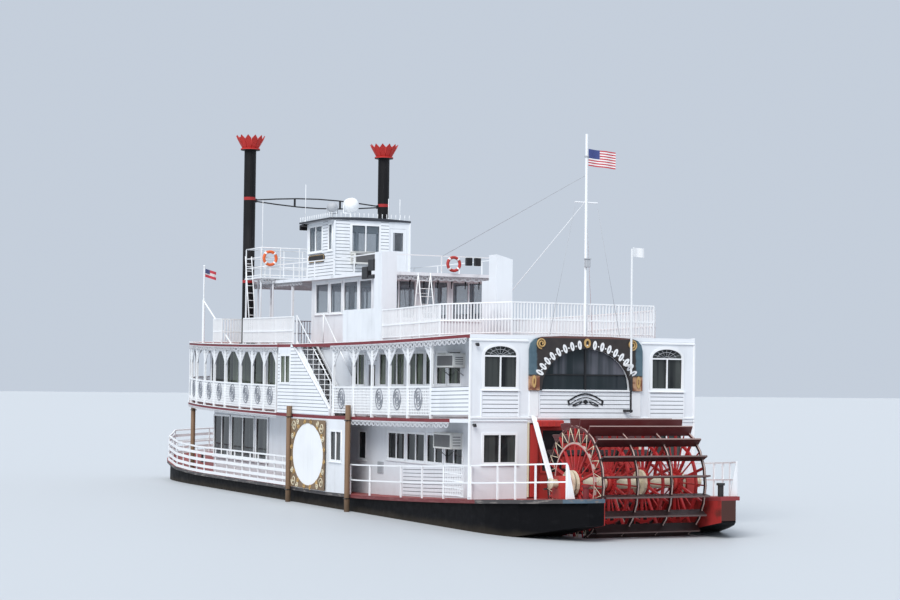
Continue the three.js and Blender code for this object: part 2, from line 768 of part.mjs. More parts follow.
// The eaves reach out to port and ahead, and end with the walls to starboard and astern
function pilotRoof() {
  const port = PILOT_Y + PILOT_EAVES;
  const starboard = -PILOT_Y - 20;
  const x = [PILOT_X[0] - 60, PILOT_X[1] + PILOT_EAVES + 120];
  const crown = [];
  for (let i = 0; i <= 6; i += 1) {
    const share = i / 6;
    const height = PILOT_ROOF + PILOT_CAMBER * Math.sin(Math.PI * share);
    crown.push([port + (starboard - port) * share, pilotTop + GAP + height]);
  }
  return fromAstern([[starboard, pilotTop + GAP], [port, pilotTop + GAP]].concat(crown), x);
}
addMesh('pilothouse_roof', pilotRoof(), 'white');

// Stacks with petal crowns

function stackSolid() {
  const foot = level('third', STACK_X + STACK_R + 90) + GAP;
  const profile = [
    [STACK_R - STACK_WALL, foot],
    [STACK_R + 90, foot],
    [STACK_R + 90, foot + 60],
    [STACK_R, foot + 60],
    [STACK_R, STACK_TOP_Z],
    [STACK_R + 160, STACK_TOP_Z],
    [STACK_R + 160, STACK_TOP_Z + 70],
    [STACK_R + 10, STACK_TOP_Z + 70],
    [STACK_R + 10, STACK_TOP_Z + 230],
    [STACK_R - STACK_WALL, STACK_TOP_Z + 230],
    [STACK_R - STACK_WALL, foot],
  ].map(([r, z]) => new THREE.Vector2(r, z));
  const tube = welded(new THREE.LatheGeometry(profile, 20)).rotateX(Math.PI / 2);
  const petals = [];
  for (let i = 0; i < CROWN_PETALS; i += 1) {
    const petal = fromAstern([
      [-75, STACK_TOP_Z + 40],
      [75, STACK_TOP_Z + 40],
      [125, CROWN_TOP_Z - 230],
      [0, CROWN_TOP_Z - 60],
      [-125, CROWN_TOP_Z - 230],
    ], [-15, 15]);
    petal.translate(0, 0, -STACK_TOP_Z).rotateY(0.5).translate(STACK_R + 25, 0, STACK_TOP_Z);
    petal.rotateZ((2 * Math.PI * i) / CROWN_PETALS);
    petals.push(petal);
  }
  return joined([tube, ...petals]).translate(STACK_X, STACK_Y, 0);
}
const stack = stackSolid();
addMesh('stack_port', stack, 'black');
addMesh('stack_starboard', mirrored(stack), 'black');

function spreader() {
  const reach = STACK_Y - STACK_R - GAP;
  const span = reach - 30;
  const pieces = [];
  const steps = 6;
  for (const sign of [1, -1]) {
    for (let i = 0; i < steps; i += 1) {
      const y0 = -span + (2 * span * i) / steps;
      const y1 = -span + (2 * span * (i + 1)) / steps;
      const z0 = SPREADER_Z + sign * (30 + 170 * Math.sin((Math.PI * i) / steps));
      const z1 = SPREADER_Z + sign * (30 + 170 * Math.sin((Math.PI * (i + 1)) / steps));
      pieces.push(rod([STACK_X, y0, z0], [STACK_X, y1, z1], 28, 6));
    }
  }
  for (const y of [-1050, 1050]) {
    pieces.push(box([STACK_X - 20, STACK_X + 20], [y - 40, y + 40], [SPREADER_Z - 190, SPREADER_Z + 190]));
  }
  for (const side of [-1, 1]) {
    const ends = [side * (reach - 60), side * reach].sort((a, b) => a - b);
    pieces.push(box([STACK_X - 60, STACK_X + 60], ends, [SPREADER_Z - 80, SPREADER_Z + 80]));
  }
  return joined(pieces);
}
addMesh('stack_spreader', spreader(), 'black');

// Mast, crosstree and main stays

function mastSolid() {
  const foot = level('third', MAST_X - 60) + GAP;
  const pieces = [
    rod([MAST_X, 0, foot], [MAST_X, 0, MAST_TOP_Z], MAST_R, MAST_SIDES),
    rod([MAST_X, 0, foot], [MAST_X, 0, foot + 30], 60, MAST_SIDES),
    rod([MAST_X, -420, CROSSTREE_Z], [MAST_X, 420, CROSSTREE_Z], 22, 8),
  ];
  const stayFoot = level('third', STAY_X - 60) + GAP;
  for (const y of [STAY_Y, -STAY_Y]) {
    pieces.push(rod([MAST_X, 0, CROSSTREE_Z + 60], [STAY_X, y, stayFoot + 20], 12, 6));
    pieces.push(box([STAY_X - 60, STAY_X + 60], [y - 60, y + 60], [stayFoot, stayFoot + 40]));
  }
  return joined(pieces);
}
addMesh('mast', mastSolid(), 'white');

function sternStaff() {
  return joined([
    rod([STAFF_X, STAFF_Y, 4700], [STAFF_X, STAFF_Y, STAFF_TOP_Z], 35, 8),
    box([STAFF_X - 40, -GAP], [STAFF_Y - 50, STAFF_Y + 50], [4720, 4800]),
    box([STAFF_X - 40, ARCH_X[0] - GAP], [STAFF_Y - 50, STAFF_Y + 50], [6200, 6280]),
  ]);
}
addMesh('stern_staff', sternStaff(), 'white');

// Paddle wheel

function turned(geometry, angle) {
  return geometry.rotateY(-angle);
}

function polygonRing(outerR, innerR, sides, y, phase) {
  const outer = [];
  const inner = [];
  for (let i = 0; i < sides; i += 1) {
    const angle = phase + (2 * Math.PI * i) / sides;
    outer.push([-outerR * Math.sin(angle), outerR * Math.cos(angle)]);
    inner.push([-innerR * Math.sin(angle), innerR * Math.cos(angle)]);
  }
  return fromSide(outer, y, [inner]);
}

function spiderY(index) {
  return -WHEEL_HALF + SPIDER_THICK / 2 + (index * (2 * WHEEL_HALF - SPIDER_THICK)) / (SPIDERS - 1);
}

// Spokes reach into the corners of the strap rings
const spokeTip = STRAP_R - SPOKE_HALF * Math.tan(Math.PI / BOARDS) - GAP;

// The circle whose flat-sided bore clears a shaft of a given radius
function boreRadius(radius, clearance, sides) {
  return (radius + clearance) / Math.cos(Math.PI / sides);
}

function spider(index) {
  const y = spiderY(index);
  const ends = [y - SPIDER_THICK / 2, y + SPIDER_THICK / 2];
  const pieces = [polygonRing(INNER_RING_R + 45, INNER_RING_R - 45, BOARDS, ends, FIRST_BOARD)];
  const bore = boreRadius(SHAFT_R, GAP, BOARDS);
  pieces.push(polygonRing(HUB_R, bore, BOARDS, ends, FIRST_BOARD + Math.PI / BOARDS));
  for (let i = 0; i < SPOKES; i += 1) {
    const spoke = box([-SPOKE_HALF, SPOKE_HALF], ends, [HUB_R - 40, spokeTip]);
    pieces.push(turned(spoke, FIRST_BOARD + (2 * Math.PI * i) / SPOKES));
  }
  return joined(pieces).translate(HUB_X, 0, HUB_Z);
}
for (let i = 0; i < SPIDERS; i += 1) {
  addMesh(`paddle_spider_${i + 1}`, spider(i), 'red');
}

function paddleBoards() {
  const pieces = [];
  for (let i = 0; i < SPIDERS; i += 1) {
    const y = spiderY(i);
    const ends = [y - SPIDER_THICK / 2, y + SPIDER_THICK / 2];
    pieces.push(polygonRing(STRAP_R + STRAP_WIDTH, STRAP_R, BOARDS, ends, FIRST_BOARD));
  }
  for (let i = 0; i < BOARDS; i += 1) {
    const plank = box(
      [-BOARD_THICK / 2, BOARD_THICK / 2],
      [-WHEEL_HALF, WHEEL_HALF],
      [WHEEL_R - BOARD_DEPTH, WHEEL_R],
    );
    pieces.push(turned(plank, FIRST_BOARD + (2 * Math.PI * (i + 0.5)) / BOARDS));
  }
  return joined(pieces).translate(HUB_X, 0, HUB_Z);
}
addMesh('paddle_boards', paddleBoards(), 'board');

function paddleShaft() {
  const pieces = [rod([0, -SHAFT_HALF, 0], [0, SHAFT_HALF, 0], SHAFT_R, 16)];
  for (const y of [-WHEEL_HALF - 110, -550, WHEEL_HALF + 20]) {
    pieces.push(rod([0, y, 0], [0, y + 90, 0], 400, 16));
  }
  return joined(pieces).translate(HUB_X, 0, HUB_Z);
}
addMesh('paddle_shaft', paddleShaft(), 'cream');

// Shaft bearings on the horns

function bearing() {
  const foot = Math.max(level('main', HUB_X - 300), level('main', HUB_X + 300)) + 1;
  const y = [HORN_INNER + 60, HORN_INNER + 420];
  const block = fromSide([
    [HUB_X - 300, foot],
    [HUB_X + 300, foot],
    [HUB_X + 300, foot + 60],
    [HUB_X + 210, HUB_Z + 120],
    [HUB_X + 120, HUB_Z + 230],
    [HUB_X - 120, HUB_Z + 230],
    [HUB_X - 210, HUB_Z + 120],
    [HUB_X - 300, foot + 60],
  ], y);
  const bore = rod([HUB_X, y[0] - 50, HUB_Z], [HUB_X, y[1] + 50, HUB_Z], boreRadius(SHAFT_R, RUNNING_GAP, 24), 24);
  return cut(block, [bore]);
}
addMesh('bearing_port', bearing(), 'red');
addMesh('bearing_starboard', mirrored(bearing()), 'red');

// Rudders

function rudder(side) {
  const y = side * RUDDER_Y;
  const blade = box([RUDDER_X - RUDDER_LENGTH, RUDDER_X], [y - 22, y + 22], RUDDER_Z);
  const stock = rod([RUDDER_X, y, RUDDER_Z[0]], [RUDDER_X, y, 1460], RUDDER_STOCK_R, 16);
  const stop = rod([RUDDER_X, y, COLLAR_Z], [RUDDER_X, y, COLLAR_Z + 60], 75, 16);
  const notch = box([RUDDER_X - 140, RUDDER_X + 140], [y - 80, y + 80], [690, 770]);
  return joined([cut(blade, [notch]), stock, stop]);
}
addMesh('rudder_port', rudder(1), 'red');
addMesh('rudder_starboard', rudder(-1), 'red');

// Engine room block on the main deck

const ENGINE = { x: [3200, 6200], y: 1100, height: 1500 };
const engineFloor = level('main', ENGINE.x[0]) + GAP;
addMesh('engine_block', box(ENGINE.x, [-ENGINE.y, ENGINE.y], [engineFloor, engineFloor + ENGINE.height]), 'steel');

// Rails: posts and bars that follow a line of plan points along a deck

function offsetLine(points, distance) {
  return points.map(([x, y], i) => {
    const before = points[Math.max(i - 1, 0)];
    const after = points[Math.min(i + 1, points.length - 1)];
    const along = new THREE.Vector2(after[0] - before[0], after[1] - before[1]).normalize();
    return [x - along.y * distance, y + along.x * distance];
  });
}

function railBar(deck, points, top, size) {
  const xs = points.map(([x]) => x);
  const x = [Math.min(...xs) - size, Math.max(...xs) + size];
  const ring = offsetLine(points, size / 2).concat(offsetLine(points, -size / 2).reverse());
  const strip = fromSide(band(x[0], x[1], [deck, top - size], [deck, top]), [-BEAM, BEAM]);
  return common(fromAbove(ring, [0, 20000]), strip);
}

function railing(deck, points, { height, bars, postWidth = 45, barSize = 40 }) {
  const posts = points.map(([x, y]) => {
    const half = postWidth / 2;
    const foot = Math.max(level(deck, x - half), level(deck, x + half)) + GAP;
    return box([x - half, x + half], [y - half, y + half], [foot, level(deck, x) + height - barSize / 2]);
  });
  const rails = bars.map((share) => railBar(deck, points, height * share, barSize));
  return joined([...posts, ...rails]);
}

function lineAlong(x0, x1, y, step = STATION) {
  const count = Math.max(1, Math.round((x1 - x0) / step));
  return Array.from({ length: count + 1 }, (_, i) => [x0 + ((x1 - x0) * i) / count, y]);
}

// Points round an end at an even spacing, from the port side over the tip to starboard
function aroundEnd(startX, tapered, inset, step) {
  const port = tapered.map(([x, y]) => [Math.max(startX, x - inset * 0.5), Math.max(0, y - inset)]);
  const curve = new THREE.CurvePath();
  const full = port.concat(port.slice(0, -1).map(([x, y]) => [x, -y]).reverse());
  for (let i = 0; i + 1 < full.length; i += 1) {
    curve.add(new THREE.LineCurve(new THREE.Vector2(...full[i]), new THREE.Vector2(...full[i + 1])));
  }
  const count = Math.round(curve.getLength() / step);
  return curve.getSpacedPoints(count).map((p) => [p.x, p.y]);
}

const bowCurve = roundedEnd(BOW_FLAT_START_X, BOW_TIP_X, BEAM / 2, BOW_POWER, 12);
const bowFence = lineAlong(15500, 23000, BEAM / 2 - 60, FENCE_STEP)
  .concat(aroundEnd(23000, [[BOW_FLAT_START_X, BEAM / 2], ...bowCurve.slice(1)], 60, FENCE_STEP).slice(1, -1))
  .concat(lineAlong(15500, 23000, -(BEAM / 2 - 60), FENCE_STEP).reverse());
addMesh('main_fence', railing('main', bowFence, {
  height: 1150, bars: [1, 0.5], postWidth: 50, barSize: 60,
}), 'white');

const aftRailOptions = { height: RAIL_HEIGHT, bars: [1, 0.5], postWidth: 50, barSize: 45 };
function mainAftRail() {
  const side = [120, 1950, 3600, 5300, 7950, 9700].map((x) => [x, BEAM / 2 - 60]);
  return railing('main', side, aftRailOptions);
}
addMesh('main_rail_port', mainAftRail(), 'white');
addMesh('main_rail_starboard', mirrored(mainAftRail()), 'white');

function hornRail() {
  const side = hornSide(BEAM / 2, 0).map(([x, y]) => [x + 60, y - 70]).filter(([x]) => x > -3300 && x < -1500);
  return railing('main', [[-4240, 3000], ...side, [-40, BEAM / 2 - 70]], aftRailOptions);
}
addMesh('horn_rail_port', hornRail(), 'white');
addMesh('horn_rail_starboard', mirrored(hornRail()), 'white');

// Gallery posts from one deck to the next, joined by the gallery's rail
function galleryRow(floor, ceiling, points, options) {
  const half = POST / 2;
  const posts = points.map(([x, y]) => {
    const foot = Math.max(level(floor, x - half), level(floor, x + half)) + GAP;
    const head = Math.min(level(ceiling, x - half), level(ceiling, x + half)) - SLAB - GAP;
    return box([x - half, x + half], [y - half, y + half], [foot, head]);
  });
  const rails = options.bars.map((share) => railBar(floor, points, options.height * share, options.barSize));
  return joined([...posts, ...rails]);
}

const galleryOptions = { height: RAIL_HEIGHT, bars: [1], barSize: 60 };
const upperCurve = roundedEnd(UPPER_TAPER_X, UPPER_TIP_X, BEAM / 2, UPPER_POWER, 12);
const forwardGallery = lineAlong(17300, 21500, BEAM / 2 - 60, GALLERY_STEP)
  .concat(aroundEnd(21500, [[UPPER_TAPER_X, BEAM / 2], ...upperCurve.slice(1)], 60, GALLERY_STEP).slice(1, -1))
  .concat(lineAlong(17300, 21500, -(BEAM / 2 - 60), GALLERY_STEP).reverse());
addMesh('gallery_forward', galleryRow('second', 'third', forwardGallery, galleryOptions), 'white');

function aftGallery() {
  const points = [2960, 4800, 6340, 7840, 9500, 11400].map((x) => [x, BEAM / 2 - 60]);
  return galleryRow('second', 'third', points, galleryOptions);
}
addMesh('gallery_aft_port', aftGallery(), 'white');
addMesh('gallery_aft_starboard', mirrored(aftGallery()), 'white');

// Third deck rails
const AFT_RAIL_X = 140;
const thirdAft = lineAlong(2400, 7050, BEAM / 2 - 80, 1550).reverse()
  .concat([2630, 1300, 0, -1300, -2630].map((y) => [AFT_RAIL_X, y]))
  .concat(lineAlong(2400, 7050, -BEAM / 2 + 80, 1550));
addMesh('third_rail_aft', railing('third', thirdAft, aftRailOptions), 'white');

// The forward rail steps in behind each stack and crosses the deck ahead of them
const RAIL_CROSS_X = 25200;
const forwardPort = [15600, 17500, 19400, 21300].map((x) => [x, BEAM / 2 - 80])
  .concat([[22300, 2450], [24050, 2450], [24000, BEAM / 2 - 80]])
  .concat([[RAIL_CROSS_X, BEAM / 2 - 120], [RAIL_CROSS_X, 2050]]);
const forwardStarboard = forwardPort.map(([x, y]) => [x, -y]).reverse();
const thirdForward = [...forwardPort, [RAIL_CROSS_X, 0], ...forwardStarboard];
addMesh('third_rail_forward', railing('third', thirdForward, aftRailOptions), 'white');

// Roof rail
const roofRailPoints = [
  ...lineAlong(ROOF_X[0] + 60, 17000, ROOF_Y - 60, 2000),
  ...lineAlong(19300, ROOF_X[1] - 60, ROOF_Y - 60, 2700),
  [ROOF_X[1] - 60, 0],
  ...lineAlong(19300, ROOF_X[1] - 60, -ROOF_Y + 60, 2700).reverse(),
  ...lineAlong(ROOF_X[0] + 60, 17000, -ROOF_Y + 60, 2000).reverse(),
  [ROOF_X[0] + 60, 0],
  [ROOF_X[0] + 60, ROOF_Y - 60],
];
addMesh('roof_rail', railing('roof', roofRailPoints, {
  height: LOW_RAIL_HEIGHT, bars: [1], postWidth: 40, barSize: 36,
}), 'white');

// Casings on the third deck: one at the port side with a bulwark ahead of it, one at the stern corner

const BULWARK_END_X = 10600;
function casings() {
  const tallSide = BEAM / 2 - 60;
  const middle = fromSide(standing('third', 7130, 7750, 10130), [3530, tallSide]);
  const bulwark = fromSide(standing('third', 7740, BULWARK_END_X, 8170), [tallSide - 70, tallSide]);
  addMesh('casing_middle', joined([middle, bulwark]), 'white');
  const foot = level('third', 250);
  const slopedTop = [[2220, foot - 200], [2800, foot - 200], [2800, foot + 2610], [2220, foot + 2460]];
  const tall = common(
    fromSide(standing('third', 900, 1450, foot + 3000), [2200, 2820]),
    fromAstern(slopedTop, [850, 1500]),
  );
  const low = fromSide(standing('third', 1449, 2050, foot + 1790), [2300, 2750]);
  addMesh('casing_aft', joined([tall, low]), 'white');
}
casings();

// Ensign at the mast, a thin sheet held at its hoist and blown towards the starboard quarter
const MAST_FLAT = MAST_R * Math.cos(Math.PI / MAST_SIDES);
const ENSIGN = { length: 950, z: [12700, 13250], bearing: (2 * 2 * Math.PI) / MAST_SIDES };
const ensignCloth = box([-MAST_FLAT - GAP - ENSIGN.length, -MAST_FLAT - GAP], [-5, 5], ENSIGN.z);
addMesh('ensign', ensignCloth.rotateZ(ENSIGN.bearing).translate(MAST_X, 0, 0), 'cloth');

// The finished boat stands on its flat bottom, its length centred on the origin
boat.position.x = -(HORN_END_X + BOW_TIP_X) / 2;

export default boat;
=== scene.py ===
# %% [markdown]
# # A sternwheel excursion boat
# The solids of the boat come in as a fixed frame: hull, decks, walls, stacks, rails and the paddle wheel,
# all in metres, with +X towards the bow, +Y to port and +Z up. This lesson dresses that frame with what
# glaziers, joiners and painters would add: glass, siding, fretwork, railings, fittings and paint.

# %% Load the frame
import math

import bmesh
import bpy
from mathutils import Matrix, Vector


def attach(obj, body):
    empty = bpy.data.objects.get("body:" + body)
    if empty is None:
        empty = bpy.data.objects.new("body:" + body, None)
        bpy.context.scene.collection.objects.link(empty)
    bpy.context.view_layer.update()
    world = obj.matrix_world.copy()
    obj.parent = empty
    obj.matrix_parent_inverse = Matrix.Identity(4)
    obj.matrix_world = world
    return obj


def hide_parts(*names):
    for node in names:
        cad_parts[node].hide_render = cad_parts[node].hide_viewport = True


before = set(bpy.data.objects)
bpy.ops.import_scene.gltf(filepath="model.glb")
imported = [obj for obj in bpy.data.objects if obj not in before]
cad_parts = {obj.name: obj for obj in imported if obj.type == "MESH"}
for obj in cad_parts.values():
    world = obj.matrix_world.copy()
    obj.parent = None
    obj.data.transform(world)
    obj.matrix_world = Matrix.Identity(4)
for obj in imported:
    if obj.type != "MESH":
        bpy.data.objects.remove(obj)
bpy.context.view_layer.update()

# %% [markdown]
# ## Where things are
# The boat's drawings measure lengths from the outer face of the stern wall and heights from the flat bottom.
# The pieces are modelled in those lengths, and each mesh is moved to the frame's origin when it is done.
# The upper decks have a gentle sheer, and the main deck rises at the stern and the bow, so two small
# functions give the height of each deck at any length.

# %% Main sizes of the boat
STERN_X = -14.83
BEAM_HALF = 4.16
CABIN_Y = 3.2
WATER_Z = 0.95
STATION = 3.0
DECK_Z = {"main": 1.53, "second": 4.32, "third": 6.99, "roof": 9.66}
SLAB = 0.12


MIDDLE_X, UPPER_SHEER = 13.5, 0.16
STERN_RISE_X, BOW_RISE_X = 11.5, 27


def sheer(deck, x):
    """How far a deck has risen above its lowest height."""
    if deck == "main":
        return 0.0141 * max(0, STERN_RISE_X - x) ** 1.4 + 0.0102 * max(0, x - BOW_RISE_X) ** 2
    return UPPER_SHEER * ((x - MIDDLE_X) / MIDDLE_X) ** 2


def level(deck, x):
    """Height of a deck's top, straight between the stations as the plates are."""
    low = math.floor(x / STATION) * STATION
    share = (x - low) / STATION
    return DECK_Z[deck] + sheer(deck, low) * (1 - share) + sheer(deck, low + STATION) * share


print("second deck", [round(level("second", x), 3) for x in (0, 13.5, 27)])

# %% [markdown]
# ## Camera
# The picture was taken with a long lens from a low boat astern and to port. Its place was worked out from
# the stern wall, the decks and the stacks, so the same camera stands here. The frame is 900 by 600.

# %% The camera
CAMERA_PLACE = Vector((-70.74, 31.67, 5.75))
HEADING, PITCH, ROLL = math.radians(-25.6), math.radians(2.26), math.radians(0.69)
LENS, SENSOR = 79.3, 36.0

ahead = Vector((math.cos(HEADING) * math.cos(PITCH), math.sin(HEADING) * math.cos(PITCH), math.sin(PITCH)))
level_right = Vector((math.sin(HEADING), -math.cos(HEADING), 0))
level_up = level_right.cross(ahead)
right = level_right * math.cos(ROLL) + level_up * math.sin(ROLL)
up = level_up * math.cos(ROLL) - level_right * math.sin(ROLL)
camera = bpy.data.objects.new("camera", bpy.data.cameras.new("camera"))
camera.data.lens, camera.data.sensor_width = LENS, SENSOR
camera.data.clip_end = 2000
camera.matrix_world = Matrix((
    (right.x, up.x, -ahead.x, CAMERA_PLACE.x),
    (right.y, up.y, -ahead.y, CAMERA_PLACE.y),
    (right.z, up.z, -ahead.z, CAMERA_PLACE.z),
    (0, 0, 0, 1),
))
bpy.context.scene.collection.objects.link(camera)
bpy.context.scene.camera = camera
print("camera at", [round(v, 2) for v in CAMERA_PLACE], "with a lens of", LENS, "mm")

# %% [markdown]
# ## Floor and light
# The boat is afloat, so the floor lies at the waterline and hides the bottom of the hull. An overcast
# sky is one big soft light. A very large sun disc from behind the camera and a pale world give that
# light without hard shadows.

# %% Floor, world and sun
def shift(x, y, z):
    return Matrix.Translation((x, y, z))


def around(middle, half):
    return (middle - half, middle + half)


def new_material(name):
    material = bpy.data.materials.new(name)
    material.use_nodes = True
    return material


bpy.ops.mesh.primitive_plane_add(size=900, location=(0, 0, WATER_Z))
floor = bpy.context.object
floor.name = "floor"
floor_paint = new_material("floor_paint")
floor_shader = floor_paint.node_tree.nodes["Principled BSDF"]
floor_shader.inputs["Base Color"].default_value = (0.5, 0.53, 0.56, 1)
floor_shader.inputs["Roughness"].default_value = 0.6
floor.data.materials.append(floor_paint)

world = bpy.data.worlds.new("overcast")
bpy.context.scene.world = world
world.use_nodes = True
sky = world.node_tree.nodes["Background"]
sky.inputs["Color"].default_value = (0.62, 0.69, 0.79, 1)
sky.inputs["Strength"].default_value = 0.9


def add_sun(name, strength, spread, towards, colour):
    lamp = bpy.data.lights.new(name, "SUN")
    lamp.energy, lamp.angle, lamp.color = strength, math.radians(spread), colour
    obj = bpy.data.objects.new(name, lamp)
    obj.rotation_mode = "QUATERNION"
    obj.rotation_quaternion = Vector(towards).to_track_quat("-Z", "Y")
    bpy.context.scene.collection.objects.link(obj)


add_sun("cloud_light", 2.9, 40, (0.55, -0.62, -0.85), (1.0, 0.98, 0.95))
add_sun("sky_fill", 0.7, 120, (-0.5, 0.8, -0.6), (0.9, 0.95, 1.0))
bpy.context.scene.view_settings.view_transform = "Standard"
print("camera, floor and two soft suns are set")

# %% [markdown]
# ## Shader sums
# A finish is a small sum: a base colour, a mask for wear, a mask for dirt. Nodes are slow to read, so one
# class wraps a socket and lets the sum be written with + - and *. Colours are mixed with a Mix node,
# because a Math node would turn them grey.

# %% A socket that can be added and multiplied
class Value:
    def __init__(self, finish, socket):
        self.finish, self.socket = finish, socket

    def sum(self, operation, first, second=0.0):
        return self.finish.node("ShaderNodeMath", {"operation": operation}, {0: first, 1: second})

    def __add__(self, other):
        return self.sum("ADD", self, other)

    def __sub__(self, other):
        return self.sum("SUBTRACT", self, other)

    def __mul__(self, other):
        return self.sum("MULTIPLY", self, other)

    def above(self, edge):
        return self.sum("GREATER_THAN", self, edge)

    def below(self, edge):
        return self.sum("LESS_THAN", self, edge)

    def size(self):
        return self.sum("ABSOLUTE", self)


class Finish:
    """One material with a Principled shader, written from its name and its plain numbers."""

    def __init__(self, name, rough=0.5, metal=0.0, settings=None):
        self.name, self.material = name, new_material(name)
        self.tree = self.material.node_tree
        self.shader = self.tree.nodes["Principled BSDF"]
        self.shader.inputs["Roughness"].default_value = rough
        self.shader.inputs["Metallic"].default_value = metal
        for label, number in (settings or {}).items():
            self.shader.inputs[label].default_value = number
        coordinates = self.tree.nodes.new("ShaderNodeTexCoord")
        self.place = Value(self, coordinates.outputs["Object"])
        parted = self.node("ShaderNodeSeparateXYZ", {}, {0: self.place}, outputs=(0, 1, 2))
        self.x, self.y, self.z = parted

    def node(self, kind, settings, inputs, outputs=(0,)):
        made = self.tree.nodes.new(kind)
        for label, setting in settings.items():
            setattr(made, label, setting)
        for key, item in inputs.items():
            if isinstance(item, Value):
                self.tree.links.new(item.socket, made.inputs[key])
            else:
                made.inputs[key].default_value = item
        results = [Value(self, made.outputs[i]) for i in outputs]
        return results[0] if len(results) == 1 else results

    def stretched(self, x, y, z):
        return self.node("ShaderNodeMapping", {}, {0: self.place, "Scale": (x, y, z)})

    def noise(self, scale, detail, place=None):
        inputs = {"Vector": place or self.place, "Scale": scale, "Detail": detail, "Roughness": 0.55}
        return self.node("ShaderNodeTexNoise", {}, inputs)

    def ramp(self, value, low, high, soft="SMOOTHSTEP"):
        settings = {"interpolation_type": soft, "clamp": True}
        return self.node("ShaderNodeMapRange", settings, {0: value, 1: low, 2: high})

    def patches(self, scale, detail, low, high):
        """Soft spots: 0 where a noise lies below low and 1 where it lies above high."""
        return self.ramp(self.noise(scale, detail), low, high)

    def mix(self, share, first, second):
        """Colour first where share is 0 and second where it is 1."""
        inputs = {0: share}
        for key, colour in ((6, first), (7, second)):
            inputs[key] = colour if isinstance(colour, Value) else (*colour, 1)
        return self.node("ShaderNodeMix", {"data_type": "RGBA"}, inputs, outputs=(2,))

    def upward(self):
        geometry = self.tree.nodes.new("ShaderNodeNewGeometry")
        normal = Value(self, geometry.outputs["Normal"])
        return self.node("ShaderNodeSeparateXYZ", {}, {0: normal}, outputs=(2,))

    def colour(self, value):
        if isinstance(value, Value):
            self.tree.links.new(value.socket, self.shader.inputs["Base Color"])
        else:
            self.shader.inputs["Base Color"].default_value = (*value, 1)
        return self

    def rough(self, value):
        self.tree.links.new(value.socket, self.shader.inputs["Roughness"])
        return self

    def bump(self, height, strength, depth):
        inputs = {"Height": height, "Strength": strength, "Distance": depth}
        normal = self.node("ShaderNodeBump", {}, inputs)
        self.tree.links.new(normal.socket, self.shader.inputs["Normal"])
        return self


print("finishes can be written as sums")

# %% [markdown]
# ## Paints of the boat
# White marine paint over wood and steel is never one flat tone. Rain draws grey streaks down it, spray
# leaves it dull low on the walls, and brush marks catch the light. The same recipe with other colours
# makes the reds, the blacks, the creams and the greys.

# %% Plain paints
def weathered(name, clean, dull, rough=0.45, streak=0.35, low_z=None):
    finish = Finish(name, rough)
    streaks = finish.noise(2.2, 4, finish.stretched(1, 1, 0.14))
    dirt = finish.ramp(streaks, 0.48, 0.78) * streak + finish.patches(0.8, 3, 0.45, 0.75) * 0.18
    if low_z is not None:
        dirt = dirt + finish.ramp(finish.z, low_z + 1.3, low_z, "LINEAR") * finish.noise(3.0, 4) * 0.5
    finish.colour(finish.mix(dirt, clean, dull))
    finish.rough(finish.noise(9, 3) * 0.25 + (rough - 0.1))
    finish.bump(finish.noise(28, 4, finish.stretched(1, 1, 0.4)), 0.12, 0.004)
    return finish


WHITE, WHITE_DULL = (0.78, 0.81, 0.85), (0.50, 0.52, 0.54)
white_paint = weathered("white_paint", WHITE, WHITE_DULL)
wall_white = weathered("wall_white", (0.76, 0.79, 0.83), (0.52, 0.52, 0.53), low_z=DECK_Z["main"])
trim_white = weathered("trim_white", (0.84, 0.86, 0.88), (0.58, 0.60, 0.62), rough=0.4, streak=0.2)
red_paint = weathered("red_paint", (0.46, 0.035, 0.03), (0.22, 0.05, 0.035), rough=0.5, streak=0.6)
black_paint = weathered("black_paint", (0.006, 0.006, 0.008), (0.025, 0.022, 0.022), rough=0.4, streak=0.5)
cream_paint = weathered("cream_paint", (0.66, 0.60, 0.45), (0.33, 0.27, 0.18), rough=0.5, streak=0.7)
grey_paint = weathered("grey_paint", (0.42, 0.44, 0.47), (0.25, 0.26, 0.28), rough=0.5, streak=0.3)
# The fringes' grey: dirty white paint, and painted shade under the deck edges.
lace_grey = weathered("lace_grey", (0.56, 0.57, 0.60), (0.30, 0.31, 0.33), rough=0.5, streak=0.5)
gold_paint = weathered("gold_paint", (0.55, 0.36, 0.14), (0.25, 0.14, 0.06), rough=0.45, streak=0.4)
print("plain paints", len(bpy.data.materials) - 1)

# %% [markdown]
# ## Deck paint
# One plate shows three paints: red deck paint on top, maroon on the edge and white underneath. The face's
# own direction tells them apart, so the mask is the upward part of the normal.

# %% Deck plates
def deck_finish(name, top, edge, under, aft_edge=None):
    finish = Finish(name, 0.6)
    upward = finish.upward()
    worn = finish.patches(1.4, 4, 0.45, 0.7)
    top_colour = finish.mix(worn * 0.6, top, tuple(0.55 * c + 0.12 for c in top))
    chipped = finish.patches(3, 4, 0.5, 0.75) * 0.5
    edge_colour = finish.mix(chipped, edge, tuple(0.5 * c for c in edge))
    if aft_edge:
        on_stern = finish.x.below(STERN_X + 0.02)
        low_corner = finish.z.below(6.0) * finish.x.below(STERN_X + 1.43)
        edge_colour = finish.mix(on_stern, edge_colour, aft_edge)
        edge_colour = finish.mix(low_corner, edge_colour, aft_edge)
    colour = finish.mix(upward.above(0.6), edge_colour, top_colour)
    colour = finish.mix(upward.below(-0.6), colour, under)
    finish.colour(colour)
    finish.bump(finish.noise(40, 2), 0.15, 0.003)
    return finish


def staff_finish():
    finish = Finish("staff_paint", 0.5)
    worn = finish.patches(6, 3, 0.5, 0.7)
    colour = finish.mix(worn, (0.012, 0.012, 0.014), (0.05, 0.045, 0.04))
    finish.colour(finish.mix(finish.z.above(5.95), colour, (0.74, 0.76, 0.78)))
    return finish


